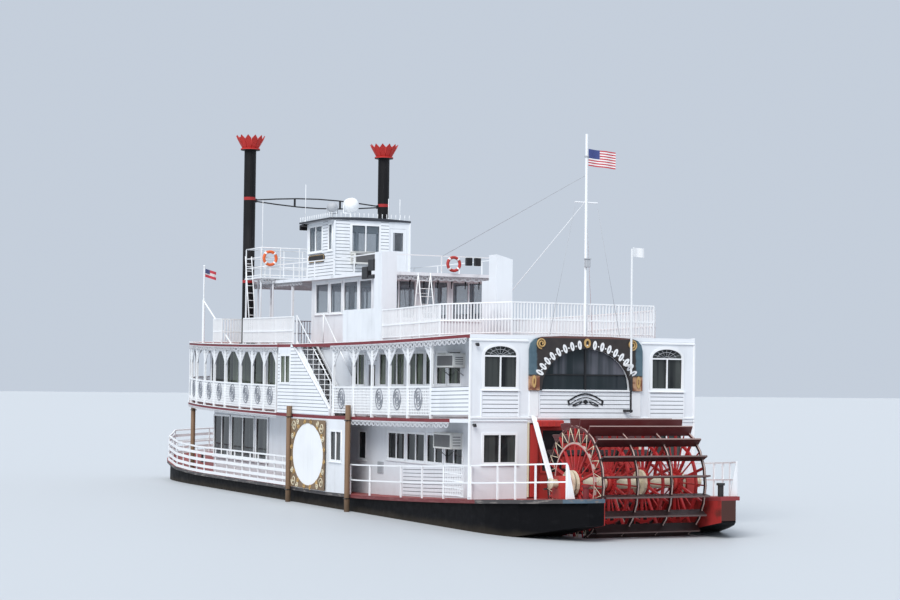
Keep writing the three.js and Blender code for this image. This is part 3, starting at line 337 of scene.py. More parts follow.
staff_paint = staff_finish()
EDGE_MAROON = (0.19, 0.02, 0.028)
CEILING, DARK_EDGE = (0.60, 0.62, 0.64), (0.030, 0.034, 0.045)
upper_deck_paint = deck_finish("upper_deck_paint", (0.27, 0.10, 0.09), EDGE_MAROON, CEILING, WHITE)
pilot_roof_paint = deck_finish("pilot_roof_paint", (0.70, 0.72, 0.74), DARK_EDGE, (0.30, 0.31, 0.33))
roof_deck_paint = deck_finish("roof_deck_paint", (0.55, 0.57, 0.60), WHITE, CEILING)
print("finishes so far", len(bpy.data.materials))

# %% [markdown]
# ## Main deck and hull
# The deck's edge is a steel guard, grey and scuffed by quays. Inside the wheel well it is painted red with
# the horns. The mooring bollards are cast on the deck and are black, so four discs round their places
# are masked out. The hull is near black, brown where the river wets it.

# %% Main deck plate
BOLLARDS = [(31.5, 2.3), (31.5, -2.3), (-4.3, 2.38), (-4.3, -2.38)]
BOLLARD_REACH = 0.14
WELL_HALF = 2.06


def guard_and_deck():
    finish = Finish("main_deck_paint", 0.6)
    upward = finish.upward()
    worn = finish.patches(1.1, 5, 0.45, 0.72)
    deck = finish.mix(worn * 0.7, (0.30, 0.045, 0.04), (0.25, 0.13, 0.12))
    scuffs = finish.ramp(finish.noise(5, 5, finish.stretched(0.4, 1, 2.5)), 0.5, 0.66)
    guard = finish.mix(scuffs, (0.055, 0.050, 0.052), (0.20, 0.18, 0.17))
    inside = finish.y.size().below(WELL_HALF) * finish.x.below(STERN_X + 0.05)
    guard = finish.mix(inside, guard, (0.32, 0.03, 0.03))
    starboard_horn = finish.y.below(-2.0) * finish.x.below(STERN_X + 0.05)
    guard = finish.mix(starboard_horn, guard, (0.24, 0.03, 0.035))
    low_rail = finish.x.above(STERN_X - 0.4) * finish.x.below(STERN_X + 9.7) * finish.y.size().above(3.0)
    guard = finish.mix(low_rail * 0.75, guard, (0.19, 0.018, 0.022))
    worn_end = finish.y.above(2.0) * finish.x.below(STERN_X - 4.2)
    guard = finish.mix(worn_end, guard, finish.mix(scuffs, (0.07, 0.11, 0.15), (0.17, 0.15, 0.14)))
    colour = finish.mix(upward.above(0.6), guard, deck)
    for x, y in BOLLARDS:
        away_x = finish.x - (x + STERN_X)
        away_y = finish.y - y
        near = (away_x * away_x + away_y * away_y).below(BOLLARD_REACH ** 2)
        iron = (0.02, 0.02, 0.022) if x > 0 or y < 0 else (0.16, 0.015, 0.018)
        colour = finish.mix(near, colour, iron)
    finish.colour(colour)
    finish.bump(finish.noise(30, 3), 0.2, 0.004)
    return finish


def hull_finish():
    finish = Finish("hull_paint", 0.75, settings={"Specular IOR Level": 0.12})
    wet = finish.ramp(finish.z + finish.noise(1.2, 4) * 0.25, WATER_Z + 0.42, WATER_Z + 0.12)
    rub = finish.ramp(finish.noise(3, 5, finish.stretched(0.25, 1, 1.5)), 0.55, 0.75)
    side = finish.mix(rub * 0.4, (0.002, 0.002, 0.003), (0.012, 0.012, 0.014))
    side = finish.mix(wet * 0.8, side, (0.035, 0.028, 0.02))
    well = finish.y.size().below(WELL_HALF) * finish.x.below(STERN_X + 0.4)
    rust_end = finish.y.below(-2.0) * finish.x.below(STERN_X - 4.35) * finish.z.above(WATER_Z + 0.55)
    side = finish.mix(rust_end, side, (0.075, 0.035, 0.03))
    red = finish.mix(finish.patches(2.5, 4, 0.45, 0.7), (0.34, 0.03, 0.028), (0.14, 0.03, 0.025))
    finish.colour(finish.mix(well, side, red))
    finish.rough(finish.noise(4, 3) * 0.3 + 0.5)
    finish.bump(finish.noise(2.0, 3), 0.25, 0.02)
    return finish


main_deck_paint = guard_and_deck()
hull_paint = hull_finish()
print("deck and hull paints are mixed")

# %% [markdown]
# ## Stacks, boards and other finishes
# The stacks are black with a red band halfway and one low down, and a red petal crown with dark tips.
# The bands are heights in metres, so the mask is a plain comparison on Z. Paddle boards are dark wet wood
# under maroon paint, and the grain runs along the board. The boards low in the wheel are darker still: wet
# wood, and painted shade as well.

# %% Stack paint
RED_BANDS = [(13.20, 13.33), (9.68, 9.80)]
CROWN_Z, CROWN_TIPS = 15.33, (15.86, 15.99)


def stack_finish():
    finish = Finish("stack_paint", 0.6, settings={"Specular IOR Level": 0.25})
    soot = finish.ramp(finish.noise(1.5, 4, finish.stretched(1, 1, 0.2)), 0.45, 0.75)
    colour = finish.mix(soot, (0.004, 0.004, 0.005), (0.016, 0.015, 0.016))
    for low, high in RED_BANDS:
        colour = finish.mix(finish.z.above(low) * finish.z.below(high), colour, (0.36, 0.03, 0.03))
    tips = finish.ramp(finish.z, *CROWN_TIPS, "LINEAR")
    crown = finish.mix(tips * 0.8, (0.50, 0.035, 0.03), (0.12, 0.012, 0.012))
    finish.colour(finish.mix(finish.z.above(CROWN_Z + 0.02), colour, crown))
    finish.bump(finish.noise(18, 3), 0.1, 0.004)
    return finish


WHEEL_HUB = (-2.6, 0.0, 2.575)
SPIDER_Y = (0.598, 1.795)
STRAP_OUTER, BOARD_TIP = 1.778, 1.996
INNER_RING = (1.205, 1.262)
CREAM_WORN = (0.50, 0.37, 0.33)


def wheel_radius(finish):
    along = finish.x - (WHEEL_HUB[0] + STERN_X)
    upright = finish.z - WHEEL_HUB[2]
    square = along * along + upright * upright
    return square.sum("SQRT", square)


def board_finish():
    finish = Finish("paddle_wood", 0.5)
    grain = finish.noise(6, 5, finish.stretched(1, 0.12, 1))
    bleach = finish.patches(1.5, 4, 0.5, 0.75)
    dry_and_unshaded = finish.mix(grain, (0.060, 0.008, 0.009), (0.13, 0.020, 0.020))
    wet = finish.mix(grain, (0.007, 0.004, 0.004), (0.026, 0.009, 0.009))
    # Below this height the boards and their edges are darker: wet wood, and painted shade in the wheel well.
    above_spray_and_shade = finish.ramp(finish.z, WHEEL_HUB[2] + 0.9, WHEEL_HUB[2] + 1.7)
    colour = finish.mix(above_spray_and_shade, wet, dry_and_unshaded)
    colour = finish.mix(bleach * 0.14, colour, (0.16, 0.09, 0.08))
    radius = wheel_radius(finish)
    inside = radius.below(STRAP_OUTER)
    for y in SPIDER_Y:
        band = (finish.y.size() - y).size().below(0.020) * inside
        colour = finish.mix(band, colour, CREAM_WORN)
    edge = finish.mix(above_spray_and_shade, (0.13, 0.085, 0.08), (0.30, 0.20, 0.18))
    finish.colour(finish.mix(radius.above(BOARD_TIP), colour, edge))
    finish.rough(finish.noise(3, 3) * 0.5 + 0.2)
    finish.bump(grain, 0.4, 0.006)
    return finish


def spider_finish():
    finish = Finish("spider_red", 0.5)
    worn = finish.patches(2.4, 4, 0.45, 0.75)
    colour = finish.mix(worn * 0.7, (0.42, 0.020, 0.022), (0.16, 0.020, 0.018))
    radius = wheel_radius(finish)
    ring = radius.above(INNER_RING[0]) * radius.below(INNER_RING[1]) * finish.y.above(1.7)
    finish.colour(finish.mix(ring, colour, CREAM_WORN))
    return finish


def flange_finish():
    finish = Finish("flange_paint", 0.5)
    worn = finish.patches(3, 4, 0.45, 0.75)
    pale = finish.mix(worn, (0.62, 0.55, 0.42), (0.30, 0.22, 0.15))
    finish.colour(finish.mix(wheel_radius(finish).below(0.27), pale, (0.30, 0.02, 0.02)))
    return finish


def arch_finish():
    """Near black board, blue green in its top corners, rust at its feet and a brown upper strip."""
    finish = Finish("arch_board_paint", 0.5)
    cloudy = finish.noise(4, 4)
    away = finish.y.size()
    colour = finish.mix(cloudy, (0.012, 0.010, 0.012), (0.045, 0.035, 0.03))
    teal = finish.mix(cloudy, (0.02, 0.06, 0.09), (0.13, 0.20, 0.24))
    colour = finish.mix(finish.ramp(away + cloudy * 0.16, 1.88, 1.94) * finish.z.above(5.9), colour, teal)
    rust = finish.mix(finish.ramp(cloudy, 0.42, 0.6), (0.18, 0.06, 0.03), (0.50, 0.30, 0.18))
    colour = finish.mix(away.above(1.72) * finish.ramp(finish.z + cloudy * 0.3, 6.06, 5.98), colour, rust)
    finish.colour(finish.mix(finish.z.above(7.08), colour, (0.12, 0.05, 0.045)))
    return finish


def timber_finish():
    finish = Finish("fender_timber", 0.75)
    grain = finish.noise(14, 5, finish.stretched(1, 1, 0.05))
    colour = finish.mix(grain, (0.10, 0.055, 0.028), (0.30, 0.19, 0.115))
    wet = finish.ramp(finish.z, WATER_Z + 0.8, WATER_Z + 0.1)
    finish.colour(finish.mix(wet * 0.6, colour, (0.05, 0.035, 0.02)))
    finish.bump(grain, 0.6, 0.01)
    return finish


stack_paint = stack_finish()
paddle_wood = board_finish()
spider_red = spider_finish()
flange_paint = flange_finish()
arch_board_paint = arch_finish()
fender_timber = timber_finish()

engine_iron = weathered("engine_iron", (0.20, 0.21, 0.23), (0.10, 0.08, 0.07), rough=0.5)
tread_black = weathered("tread_black", (0.018, 0.018, 0.02), (0.05, 0.05, 0.05), rough=0.7)
print("finishes so far", len(bpy.data.materials))

# %% [markdown]
# ## Glass
# From outside, in daylight, a cabin window is a dark mirror with a hint of curtains. The pane is near black
# and very smooth, and long upright folds and broad patches lighten its tone. That pale tone is partly
# curtains and partly painted reflection, greenish in the gallery glass and bluish in the stern glass.
# The pilothouse and the deckhouse are glazed right round, so their panes are thin and clear and the sky
# shows through: those use Alpha.

# %% Window glass
def dark_glass(name, deep, pale, curtains_and_reflections=0.5, dark_below=None):
    finish = Finish(name, 0.08, settings={"IOR": 1.5, "Specular IOR Level": 0.28})
    folds = finish.noise(3.2, 2, finish.stretched(1, 1, 0.05))
    # How far the pane turns pale: curtain folds, and painted reflection in broad patches.
    share = finish.ramp(folds, 0.42, 0.62) * curtains_and_reflections + finish.patches(0.6, 2, 0.45, 0.7) * 0.25
    if dark_below:
        share = share * (finish.z.above(dark_below) * 0.85 + 0.15)
    finish.colour(finish.mix(share, deep, pale))
    return finish


cabin_glass = dark_glass("cabin_glass", (0.010, 0.012, 0.014), (0.085, 0.095, 0.09))
gallery_glass = dark_glass("gallery_glass", (0.012, 0.016, 0.013), (0.12, 0.15, 0.10), 0.8)
stern_glass = dark_glass("stern_glass", (0.014, 0.022, 0.026), (0.20, 0.20, 0.24), 0.35, dark_below=5.92)


def clear_glass_finish():
    finish = Finish("clear_glass", 0.05, settings={"IOR": 1.5, "Alpha": 0.24})
    finish.colour(finish.mix(finish.noise(0.8, 2), (0.10, 0.14, 0.18), (0.25, 0.31, 0.36)))
    return finish


clear_glass = clear_glass_finish()
print("finishes so far", len(bpy.data.materials))

# %% [markdown]
# ## Dressing the solids
# Most of the frame's solids already have the right shape, so they only need paint. A solid's object is
# never moved, and only its material slots are filled. Each row below is a finish, the record's slot that
# it belongs to, and the solids that wear it.

# %% Paint on the solids
SOLID_PAINTS = [
    (white_paint, "white_paint", "stern_wall_centre tower_port tower_starboard second_wall_port "
     "second_wall_starboard second_wall_forward stair_wall_port deckhouse_port deckhouse_starboard "
     "pilothouse_shell pilothouse_aft pilothouse_door casing_middle casing_aft "
     "gallery_door_port gallery_door_starboard"),
    (wall_white, "white_paint", "main_wall_port main_wall_starboard main_wall_forward side_board_port "
     "side_board_starboard entry_door_port entry_door_starboard"),
    (trim_white, "white_paint", "main_fence main_rail_port main_rail_starboard horn_rail_port "
     "horn_rail_starboard gallery_forward gallery_aft_port gallery_aft_starboard third_rail_aft "
     "third_rail_forward roof_rail mast"),
    (staff_paint, "black_paint", "stern_staff"),
    (roof_deck_paint, "white_paint", "roof_deck"),
    (pilot_roof_paint, "white_paint", "pilothouse_roof"),
    (upper_deck_paint, "maroon_paint", "second_deck third_deck"),
    (main_deck_paint, "deck_paint", "main_deck"),
    (hull_paint, "hull_paint", "hull"),
    (red_paint, "red_paint", "main_wall_aft bearing_port bearing_starboard rudder_port rudder_starboard"),
    (spider_red, "red_paint", "paddle_spider_1 paddle_spider_2 paddle_spider_3 paddle_spider_4"),
    (paddle_wood, "paddle_wood", "paddle_boards"),
    (cream_paint, "cream_paint", "paddle_shaft"),
    (stack_paint, "black_paint", "stack_port stack_starboard"),
    (black_paint, "black_paint", "stack_spreader"),
    (arch_board_paint, "black_paint", "arch_board"),
    (tread_black, "black_paint", "port_stair"),
    (engine_iron, "engine_iron", "engine_block"),
    (trim_white, "flag_cloth", "ensign"),
]
painted = set()
for finish, slot, names in SOLID_PAINTS:
    for name in names.split():
        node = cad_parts[name]
        node.data.materials.clear()
        node.data.materials.append(finish.material)
        painted.add(name)
print("painted solids", len(painted), "left bare", sorted(set(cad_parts) - painted))

# %% [markdown]
# ## The workbench
# Each new piece starts as a primitive, a curve or a flat outline and is shaped with operators. A few helpers
# save repeating the same calls. One picks objects, one adds a bevelled block between two corners, one
# draws a round bar along points, and one cuts fretwork: a flat curve with holes, given a thickness.

# %% Picking and blocks
def pick(*objects):
    bpy.ops.object.select_all(action="DESELECT")
    for obj in objects:
        obj.select_set(True)
    bpy.context.view_layer.objects.active = objects[0]
    return objects[0]


def shape(obj, *steps):
    """Runs edit mode operators on the whole mesh. A step is an operator's name and its settings."""
    pick(obj)
    bpy.ops.object.mode_set(mode="EDIT")
    bpy.ops.mesh.select_all(action="SELECT")
    for name, settings in steps:
        getattr(bpy.ops.mesh, name)(**settings)
    bpy.ops.object.mode_set(mode="OBJECT")
    return obj


def block(x, y, z, edge=0.006):
    bpy.ops.object.select_all(action="DESELECT")
    middle = [(a + b) / 2 for a, b in (x, y, z)]
    size = [b - a for a, b in (x, y, z)]
    bpy.ops.mesh.primitive_cube_add(size=1, location=middle, scale=size)
    bpy.ops.object.transform_apply()
    obj = bpy.context.object
    if edge:
        shape(obj, ("bevel", {"offset": min(edge, min(size) * 0.3), "segments": 1, "affect": "EDGES"}))
    return obj


def upright(x, y, half, low, high, edge=0):
    """A square post."""
    return block(around(x, half), around(y, half), (low, high), edge)


def drum(centre, radius, depth, axis="Z", sides=24, edge=0.01):
    """A round block with softened rims, its axis along X, Y or Z."""
    bpy.ops.object.select_all(action="DESELECT")
    turn = {"X": (0, math.pi / 2, 0), "Y": (math.pi / 2, 0, 0), "Z": (0, 0, 0)}[axis]
    bpy.ops.mesh.primitive_cylinder_add(
        vertices=sides, radius=radius, depth=depth, location=centre, rotation=turn)
    bpy.ops.object.transform_apply()
    obj = bpy.context.object
    if edge:
        pick(obj)
        soft = obj.modifiers.new("rim", "BEVEL")
        soft.width, soft.segments, soft.limit_method, soft.angle_limit = edge, 2, "ANGLE", math.radians(50)
        bpy.ops.object.modifier_apply(modifier="rim")
    return obj


def bar(points, radius, closed=False, round_steps=1):
    """A round bar along points: four sides at 0 round steps, and two more for each step."""
    curve = bpy.data.curves.new("bar", "CURVE")
    curve.dimensions = "3D"
    spline = curve.splines.new("POLY")
    spline.points.add(len(points) - 1)
    for place, point in zip(spline.points, points):
        place.co = (*point, 1)
    spline.use_cyclic_u = closed
    curve.bevel_depth, curve.bevel_resolution, curve.use_fill_caps = radius, round_steps, True
    obj = bpy.data.objects.new("bar", curve)
    bpy.context.scene.collection.objects.link(obj)
    pick(obj)
    bpy.ops.object.convert(target="MESH")
    return shape(bpy.context.object, ("remove_doubles", {"threshold": 1e-5}))


def rod(points, radius, closed=False):
    """A thin bar, with four sides."""
    return bar(points, radius, closed, round_steps=0)


def fret(loops, thick):
    """Fretwork: the first loop is the outline and the others are holes, as a plate in XY."""
    curve = bpy.data.curves.new("fret", "CURVE")
    curve.dimensions, curve.fill_mode, curve.extrude = "2D", "BOTH", thick / 2
    for loop in loops:
        spline = curve.splines.new("POLY")
        spline.points.add(len(loop) - 1)
        for place, point in zip(spline.points, loop):
            place.co = (*point, 0, 1)
        spline.use_cyclic_u = True
    obj = bpy.data.objects.new("fret", curve)
    bpy.context.scene.collection.objects.link(obj)
    pick(obj)
    bpy.ops.object.convert(target="MESH")
    return shape(
        bpy.context.object,
        ("remove_doubles", {"threshold": 1e-5}),
        ("normals_make_consistent", {"inside": False}),
    )


print("blocks, drums, bars and fretwork can be drawn")

# %% [markdown]
# A wall on the side of the boat runs along X, and one across the stern runs along Y. Fretwork is drawn flat
# and then stood up in one of the two. What repeats is modelled once: its mesh is copied to every place
# in one go, and the starboard piece is the port piece with Y turned over and its faces turned back.

# %% Placing and copying
STAND_SIDE = Matrix(((1, 0, 0, 0), (0, 0, -1, 0), (0, 1, 0, 0), (0, 0, 0, 1)))
STAND_STERN = Matrix(((0, 0, 1, 0), (1, 0, 0, 0), (0, 1, 0, 0), (0, 0, 0, 1)))


def placed(obj, matrix):
    obj.data.transform(matrix)
    return obj


def along_side(obj, y):
    return placed(obj, shift(0, y, 0) @ STAND_SIDE)


def across(obj, x):
    return placed(obj, shift(x, 0, 0) @ STAND_STERN)


def join(*objects):
    if len(objects) > 1:
        pick(*objects)
        bpy.ops.object.join()
    return objects[0]


def repeated(master, places):
    """Turns the master into one mesh with a copy of it at every place, given as matrices."""
    sheet = bmesh.new()
    for place in places:
        copy = master.data.copy()
        copy.transform(place)
        sheet.from_mesh(copy)
        bpy.data.meshes.remove(copy)
    sheet.to_mesh(master.data)
    sheet.free()
    return master


def duplicate(obj):
    copy = obj.copy()
    copy.data = obj.data.copy()
    bpy.context.scene.collection.objects.link(copy)
    return copy


def turned_over(obj):
    """Changes port and starboard, with the faces turned back."""
    obj.data.transform(Matrix.Diagonal((1, -1, 1, 1)))
    obj.data.flip_normals()
    return obj


def starboard_of(obj):
    return turned_over(duplicate(obj))


def rising(slope, x, z):
    """A shear that lets a level piece rise along X, from the height z at x."""
    return Matrix(((1, 0, 0, 0), (0, 1, 0, 0), (slope, 0, 1, z - slope * x), (0, 0, 0, 1)))


print("pieces can be stood up, copied and turned over")

# %% [markdown]
# A finished piece gets its name, its paint and the body it rides on.

# %% Finishing a piece
piece_count = 0


def finish_piece(obj, name, finish, body="root", smooth=None, replaces=(), slotted=True):
    """Names, paints and places a finished mesh or list of meshes, and lets it ride on its body."""
    global piece_count
    if isinstance(obj, list):
        obj = join(*obj)
    obj.name = obj.data.name = name
    obj.data.transform(shift(STERN_X, 0, 0))
    obj.data.materials.clear()
    obj.data.materials.append(finish.material)
    if smooth:
        pick(obj)
        bpy.ops.object.shade_smooth_by_angle(angle=math.radians(smooth))
    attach(obj, body)
    if replaces:
        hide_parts(*replaces)
    piece_count += 1
    return obj


def both_sides(obj, name, finish, **settings):
    """The same piece to port and to starboard."""
    if isinstance(obj, list):
        obj = join(*obj)
    other = starboard_of(obj)
    finish_piece(obj, name + "_port", finish, **settings)
    finish_piece(other, name + "_starboard", finish, **settings)


print("a piece can be finished")

# %% [markdown]
# Outlines are lists of flat points. Rectangles and rings close on themselves, and a spiral is a ring that
# shrinks as it turns, which makes the scrolls.

# %% Outlines
def rectangle(u0, u1, v0, v1):
    return [(u0, v0), (u1, v0), (u1, v1), (u0, v1)]


def spiral(centre, radii, first, turn, shrink, steps):
    """Points that wind from the first angle by a turn, while the radii shrink by that share."""
    points = []
    for i in range(steps + 1):
        angle, size = first + turn * i / steps, 1 - shrink * i / steps
        u, v = radii[0] * size * math.cos(angle), radii[1] * size * math.sin(angle)
        points.append((centre[0] + u, centre[1] + v))
    return points


def ring_points(centre, radii, count):
    return spiral(centre, radii, 0, 2 * math.pi, 0, count)[:-1]


def ring_rod(centre, radii, count, radius):
    return rod([(u, v, 0) for u, v in ring_points(centre, radii, count)], radius, closed=True)


print("the workbench is ready")

# %% [markdown]
# ## Windows
# A cabin window is a dark pane set back in the wall, a slim frame round it and a post between its two
# sashes. The wall's solid already has the hole, so the frame is fretwork: a rectangle with one hole for
# each sash, a little proud of the wall. All frames of a wall are one mesh, and so are all its panes.

# %% One window, drawn flat
FRAME_PROUD, FRAME_HALF, FRAME_RIM, FRAME_LAP = 0.018, 0.0275, 0.045, 0.03
PANE_BACK, PANE_THICK = 0.045, 0.012


def sash_frame(u0, u1, v0, v1, panes=2):
    """A frame with that many sashes, flat in XY, its outline a little outside the hole."""
    loops = [rectangle(u0 - FRAME_LAP, u1 + FRAME_LAP, v0 - FRAME_LAP, v1 + FRAME_LAP)]
    width = (u1 - u0 - FRAME_RIM * (panes + 1)) / panes
    for i in range(panes):
        left = u0 + FRAME_RIM + i * (width + FRAME_RIM)
        loops.append(rectangle(left, left + width, v0 + FRAME_RIM, v1 - FRAME_RIM))
    return fret(loops, 2 * FRAME_HALF)


def pane(u0, u1, v0, v1, grow=0.0):
    """One sheet of glass, larger than its hole all round by grow."""
    return fret([rectangle(u0 - grow, u1 + grow, v0 - grow, v1 + grow)], PANE_THICK)


def windows(holes, face, direction, on_side):
    """Frames with sills, and panes. A hole is (start, end, low, high) and may end with a count of sashes."""
    stand = along_side if on_side else across
    frames, sheets = [], []
    depth = sorted((face - direction * 0.01, face + direction * 0.05))
    for u0, u1, v0, v1, *count in holes:
        frame_piece = sash_frame(u0, u1, v0, v1, *count)
        frames.append(stand(frame_piece, face - direction * (FRAME_HALF - FRAME_PROUD)))
        sheets.append(stand(pane(u0, u1, v0, v1, 0.004), face - direction * PANE_BACK))
        run, sill = (u0 - 0.07, u1 + 0.07), (v0 - 0.065, v0 - 0.03)
        frames.append(block(run, depth, sill) if on_side else block(depth, run, sill))
    return frames, sheets


def windows_on_side(name, holes, wall_y, glass):
    """Lengths and heights of the holes, on a port wall whose outer face is wall_y, and to starboard."""
    frames, sheets = windows(holes, wall_y, 1, True)
    both_sides(frames, name + "_frames", trim_white)
    both_sides(sheets, name + "_glass", glass)


def windows_across(name, holes, face_x, direction, glass):
    """Widths and heights of the holes. The direction is -1 for a wall that faces astern."""
    frames, sheets = windows(holes, face_x, direction, False)
    finish_piece(frames, name + "_frames", trim_white)
    finish_piece(sheets, name + "_glass", glass)


def over_deck(deck, x0, x1, sill_height, head_height, panes=2):
    """A hole in a side wall, whose sill and head are measured from the deck at its middle."""
    floor_z = level(deck, (x0 + x1) / 2)
    return (x0, x1, floor_z + sill_height, floor_z + head_height, panes)


print("a window is ready to copy")

# %% [markdown]
# The rows below are the holes of the solids: where a window starts and ends along the boat, and its
# sill and head above the deck. Aft of the oval board the main cabin has four pairs of sashes and a narrow
# light. The gallery cabin has seven aft of the stair.

# %% Cabin windows on the sides
MAIN_AFT = [
    (2.4, 3.75, 1.09, 2.09), (3.9, 5.2, 1.14, 2.12), (5.35, 6.85, 1.2, 2.18), (7.0, 8.45, 1.26, 2.22),
    (10.4, 11.1, 1.22, 2.25, 1),
]
GALLERY_AFT = [
    (2.6, 3.57, 1.12, 2.24, 1), (3.71, 4.51, 1.12, 2.24, 1), (4.62, 5.37, 1.12, 2.24, 1),
    (5.48, 6.83, 1.12, 2.26), (7.09, 8.44, 1.12, 2.27), (8.65, 9.3, 1.12, 2.28, 1),
    (10.62, 11.88, 1.12, 2.29),
]

holes = [over_deck("main", *numbers) for numbers in MAIN_AFT]
windows_on_side("main_side", holes, CABIN_Y, cabin_glass)
holes = [over_deck("second", *numbers) for numbers in GALLERY_AFT]
windows_on_side("gallery_side", holes, CABIN_Y, gallery_glass)
windows_on_side("board_light", [over_deck("main", 10.45, 11.5, 1.15, 2.25)], BEAM_HALF, cabin_glass)
print("pieces", piece_count)

# %% [markdown]
# The windows that face ahead and astern sit in cross walls. The stair wall's window is on the port side
# only, because the stair is. The deckhouse panes are clear, and one sees right through them.

# %% Windows in the cross walls
WALL_GAP = 0.0003
MAIN_FRONT_X, GALLERY_FRONT_X = 27.38, 28.08


def lights_in_row(spans, floor_z, sill, head):
    return [(*span, floor_z + sill, floor_z + head) for span in spans]


entry_low = max(level("main", 27.3), level("main", MAIN_FRONT_X)) + WALL_GAP
front = lights_in_row([(1.5, 2.75), (-2.75, -1.5)], entry_low, 0.85, 2.25)
windows_across("main_front", front, MAIN_FRONT_X, 1, cabin_glass)
spans = [(1.8, 2.9), (0.5, 1.6), (-1.6, -0.5), (-2.9, -1.8)]
front = lights_in_row(spans, level("second", GALLERY_FRONT_X), 0.9, 2.2)
windows_across("gallery_front", front, GALLERY_FRONT_X, 1, gallery_glass)
TOWER_Y = (2.475, 3.69)
low_lights = [(*TOWER_Y, 3.07, 4.02), (-TOWER_Y[1], -TOWER_Y[0], 3.07, 4.02)]
windows_across("stern_low", low_lights, 0.0, -1, cabin_glass)

stair_light = over_deck("second", 15.7, 16.75, 1.15, 2.25)
frames = along_side(sash_frame(*stair_light[:4]), BEAM_HALF - FRAME_HALF + FRAME_PROUD)
finish_piece(frames, "stair_light_frame", trim_white)
light = along_side(pane(*stair_light[:4]), BEAM_HALF - PANE_BACK)
finish_piece(light, "stair_light_glass", gallery_glass)

HOUSE_LIGHTS = [(11.9, 13.1), (13.25, 14.65), (14.83, 16.02), (16.2, 17.55)]
house = [over_deck("third", *span, 1.23, 2.43, 1) for span in HOUSE_LIGHTS]
windows_on_side("deckhouse_side", house, 2.4, clear_glass)
for name, x, face, direction in (("deckhouse_front", 17.92, 18.0, 1), ("deckhouse_back", 11.6, 11.6, -1)):
    ends = lights_in_row(((0.75, 2.15), (-0.6, 0.6), (-2.15, -0.75)), level("third", x) + 0.008, 0.95, 2.4)
    windows_across(name, ends, face, direction, clear_glass)
print("pieces", piece_count)

# %% [markdown]
# ## Pilothouse lights
# The pilothouse is glazed all round and has a door beside its aft window. The panes are clear, and their
# frames are slim and white.

# %% Pilothouse windows
PILOT_AFT, PILOT_AHEAD, PILOT_HALF = 17.5, 20.38, 1.65
PILOT_FLOOR = level("roof", PILOT_AHEAD) + WALL_GAP
PILOT_TOP = PILOT_FLOOR + 2.345
low, high = PILOT_FLOOR + 1.14, PILOT_FLOOR + 2.21
sides = [(17.75, 18.15, low, high, 1), (18.82, 20.25, low, high, 2)]
windows_on_side("pilot_side", sides, PILOT_HALF, clear_glass)
low, high = PILOT_FLOOR + 1.05, PILOT_FLOOR + 2.1
front = [(a, b, low, high, 1) for a, b in ((-1.45, -0.55), (-0.45, 0.45), (0.55, 1.45))]
windows_across("pilot_front", front, PILOT_AHEAD, 1, clear_glass)
aft_light = [(-0.335, 0.93, PILOT_FLOOR + 1.06, PILOT_FLOOR + 2.19)]
windows_across("pilot_back", aft_light, PILOT_AFT, -1, clear_glass)
print("pieces", piece_count)

# %% [markdown]
# ## Arched lights of the stern
# Each upper stern window has a flat arch over two sashes. The outline walks up one side, round the head
# and down, and a rail at the springing parts the head from the sashes. Only fretwork with holes is needed.

# %% Arched windows
SECOND_STERN = level("second", 0)
LIGHT_LOW, LIGHT_SPRINGING, LIGHT_RISE = SECOND_STERN + 0.97, SECOND_STERN + 1.99, 0.36


def arch_loop(u0, u1, low, springing, rise, steps=16):
    centre, half = (u0 + u1) / 2, (u1 - u0) / 2
    points = [(u0, low), (u1, low)]
    for i in range(steps + 1):
        angle = math.pi * i / steps
        points.append((centre + half * math.cos(angle), springing + rise * math.sin(angle)))
    return points


def arched_light(name, inner, outer):
    low, springing = LIGHT_LOW, LIGHT_SPRINGING
    rim, middle = FRAME_RIM, (inner + outer) / 2
    loops = [
        arch_loop(inner - 0.05, outer + 0.05, low - 0.05, springing, LIGHT_RISE + 0.05),
        rectangle(inner + rim, middle - rim / 2, low + rim, springing - rim / 2),
        rectangle(middle + rim / 2, outer - rim, low + rim, springing - rim / 2),
        arch_loop(inner + rim, outer - rim, springing + rim / 2, springing + rim, LIGHT_RISE - 2 * rim),
    ]
    light_frame = across(fret(loops, 2 * FRAME_HALF), -FRAME_HALF + 0.035)
    ledge = block((-0.06, 0.01), (inner - 0.08, outer + 0.08), (low - 0.09, low - 0.05))
    glass = across(fret([arch_loop(inner, outer, low, springing, LIGHT_RISE)], PANE_THICK), PANE_BACK)
    both_sides([light_frame, ledge], name + "_frame", trim_white)
    both_sides(glass, name + "_glass", cabin_glass)


arched_light("tower_light", *TOWER_Y)
print("pieces", piece_count)

# %% [markdown]
# A fan of thin bars fills the arched head, like the fretted fanlight of the real window.

# %% Fanlight
def fanlight(inner, outer):
    centre, half = (inner + outer) / 2, (outer - inner) / 2
    bars = []
    for i in range(1, 8):
        angle = math.pi * i / 8
        ends = []
        for share in (0.2, 0.96):
            out, rise = share * (half - 0.03) * math.cos(angle), share * LIGHT_RISE * math.sin(angle)
            ends.append((0.02, centre + out, LIGHT_SPRINGING + rise))
        bars.append(rod(ends, 0.007))
    for share in (0.2, 0.6):
        foot = around(centre, share * half)
        arch = arch_loop(*foot, 0, LIGHT_SPRINGING, share * LIGHT_RISE)
        bars.append(rod([(0.02, y, z) for y, z in arch[2:]], 0.008))
    return join(*bars)


both_sides(fanlight(*TOWER_Y), "stern_fanlight", grey_paint)
print("pieces", piece_count)

# %% [markdown]
# Ahead of the stair both cabins are glazed almost from post to post. Wide panes stand on the face of the
# walls, over the walls' own openings, with only a slim frame between one and the next.

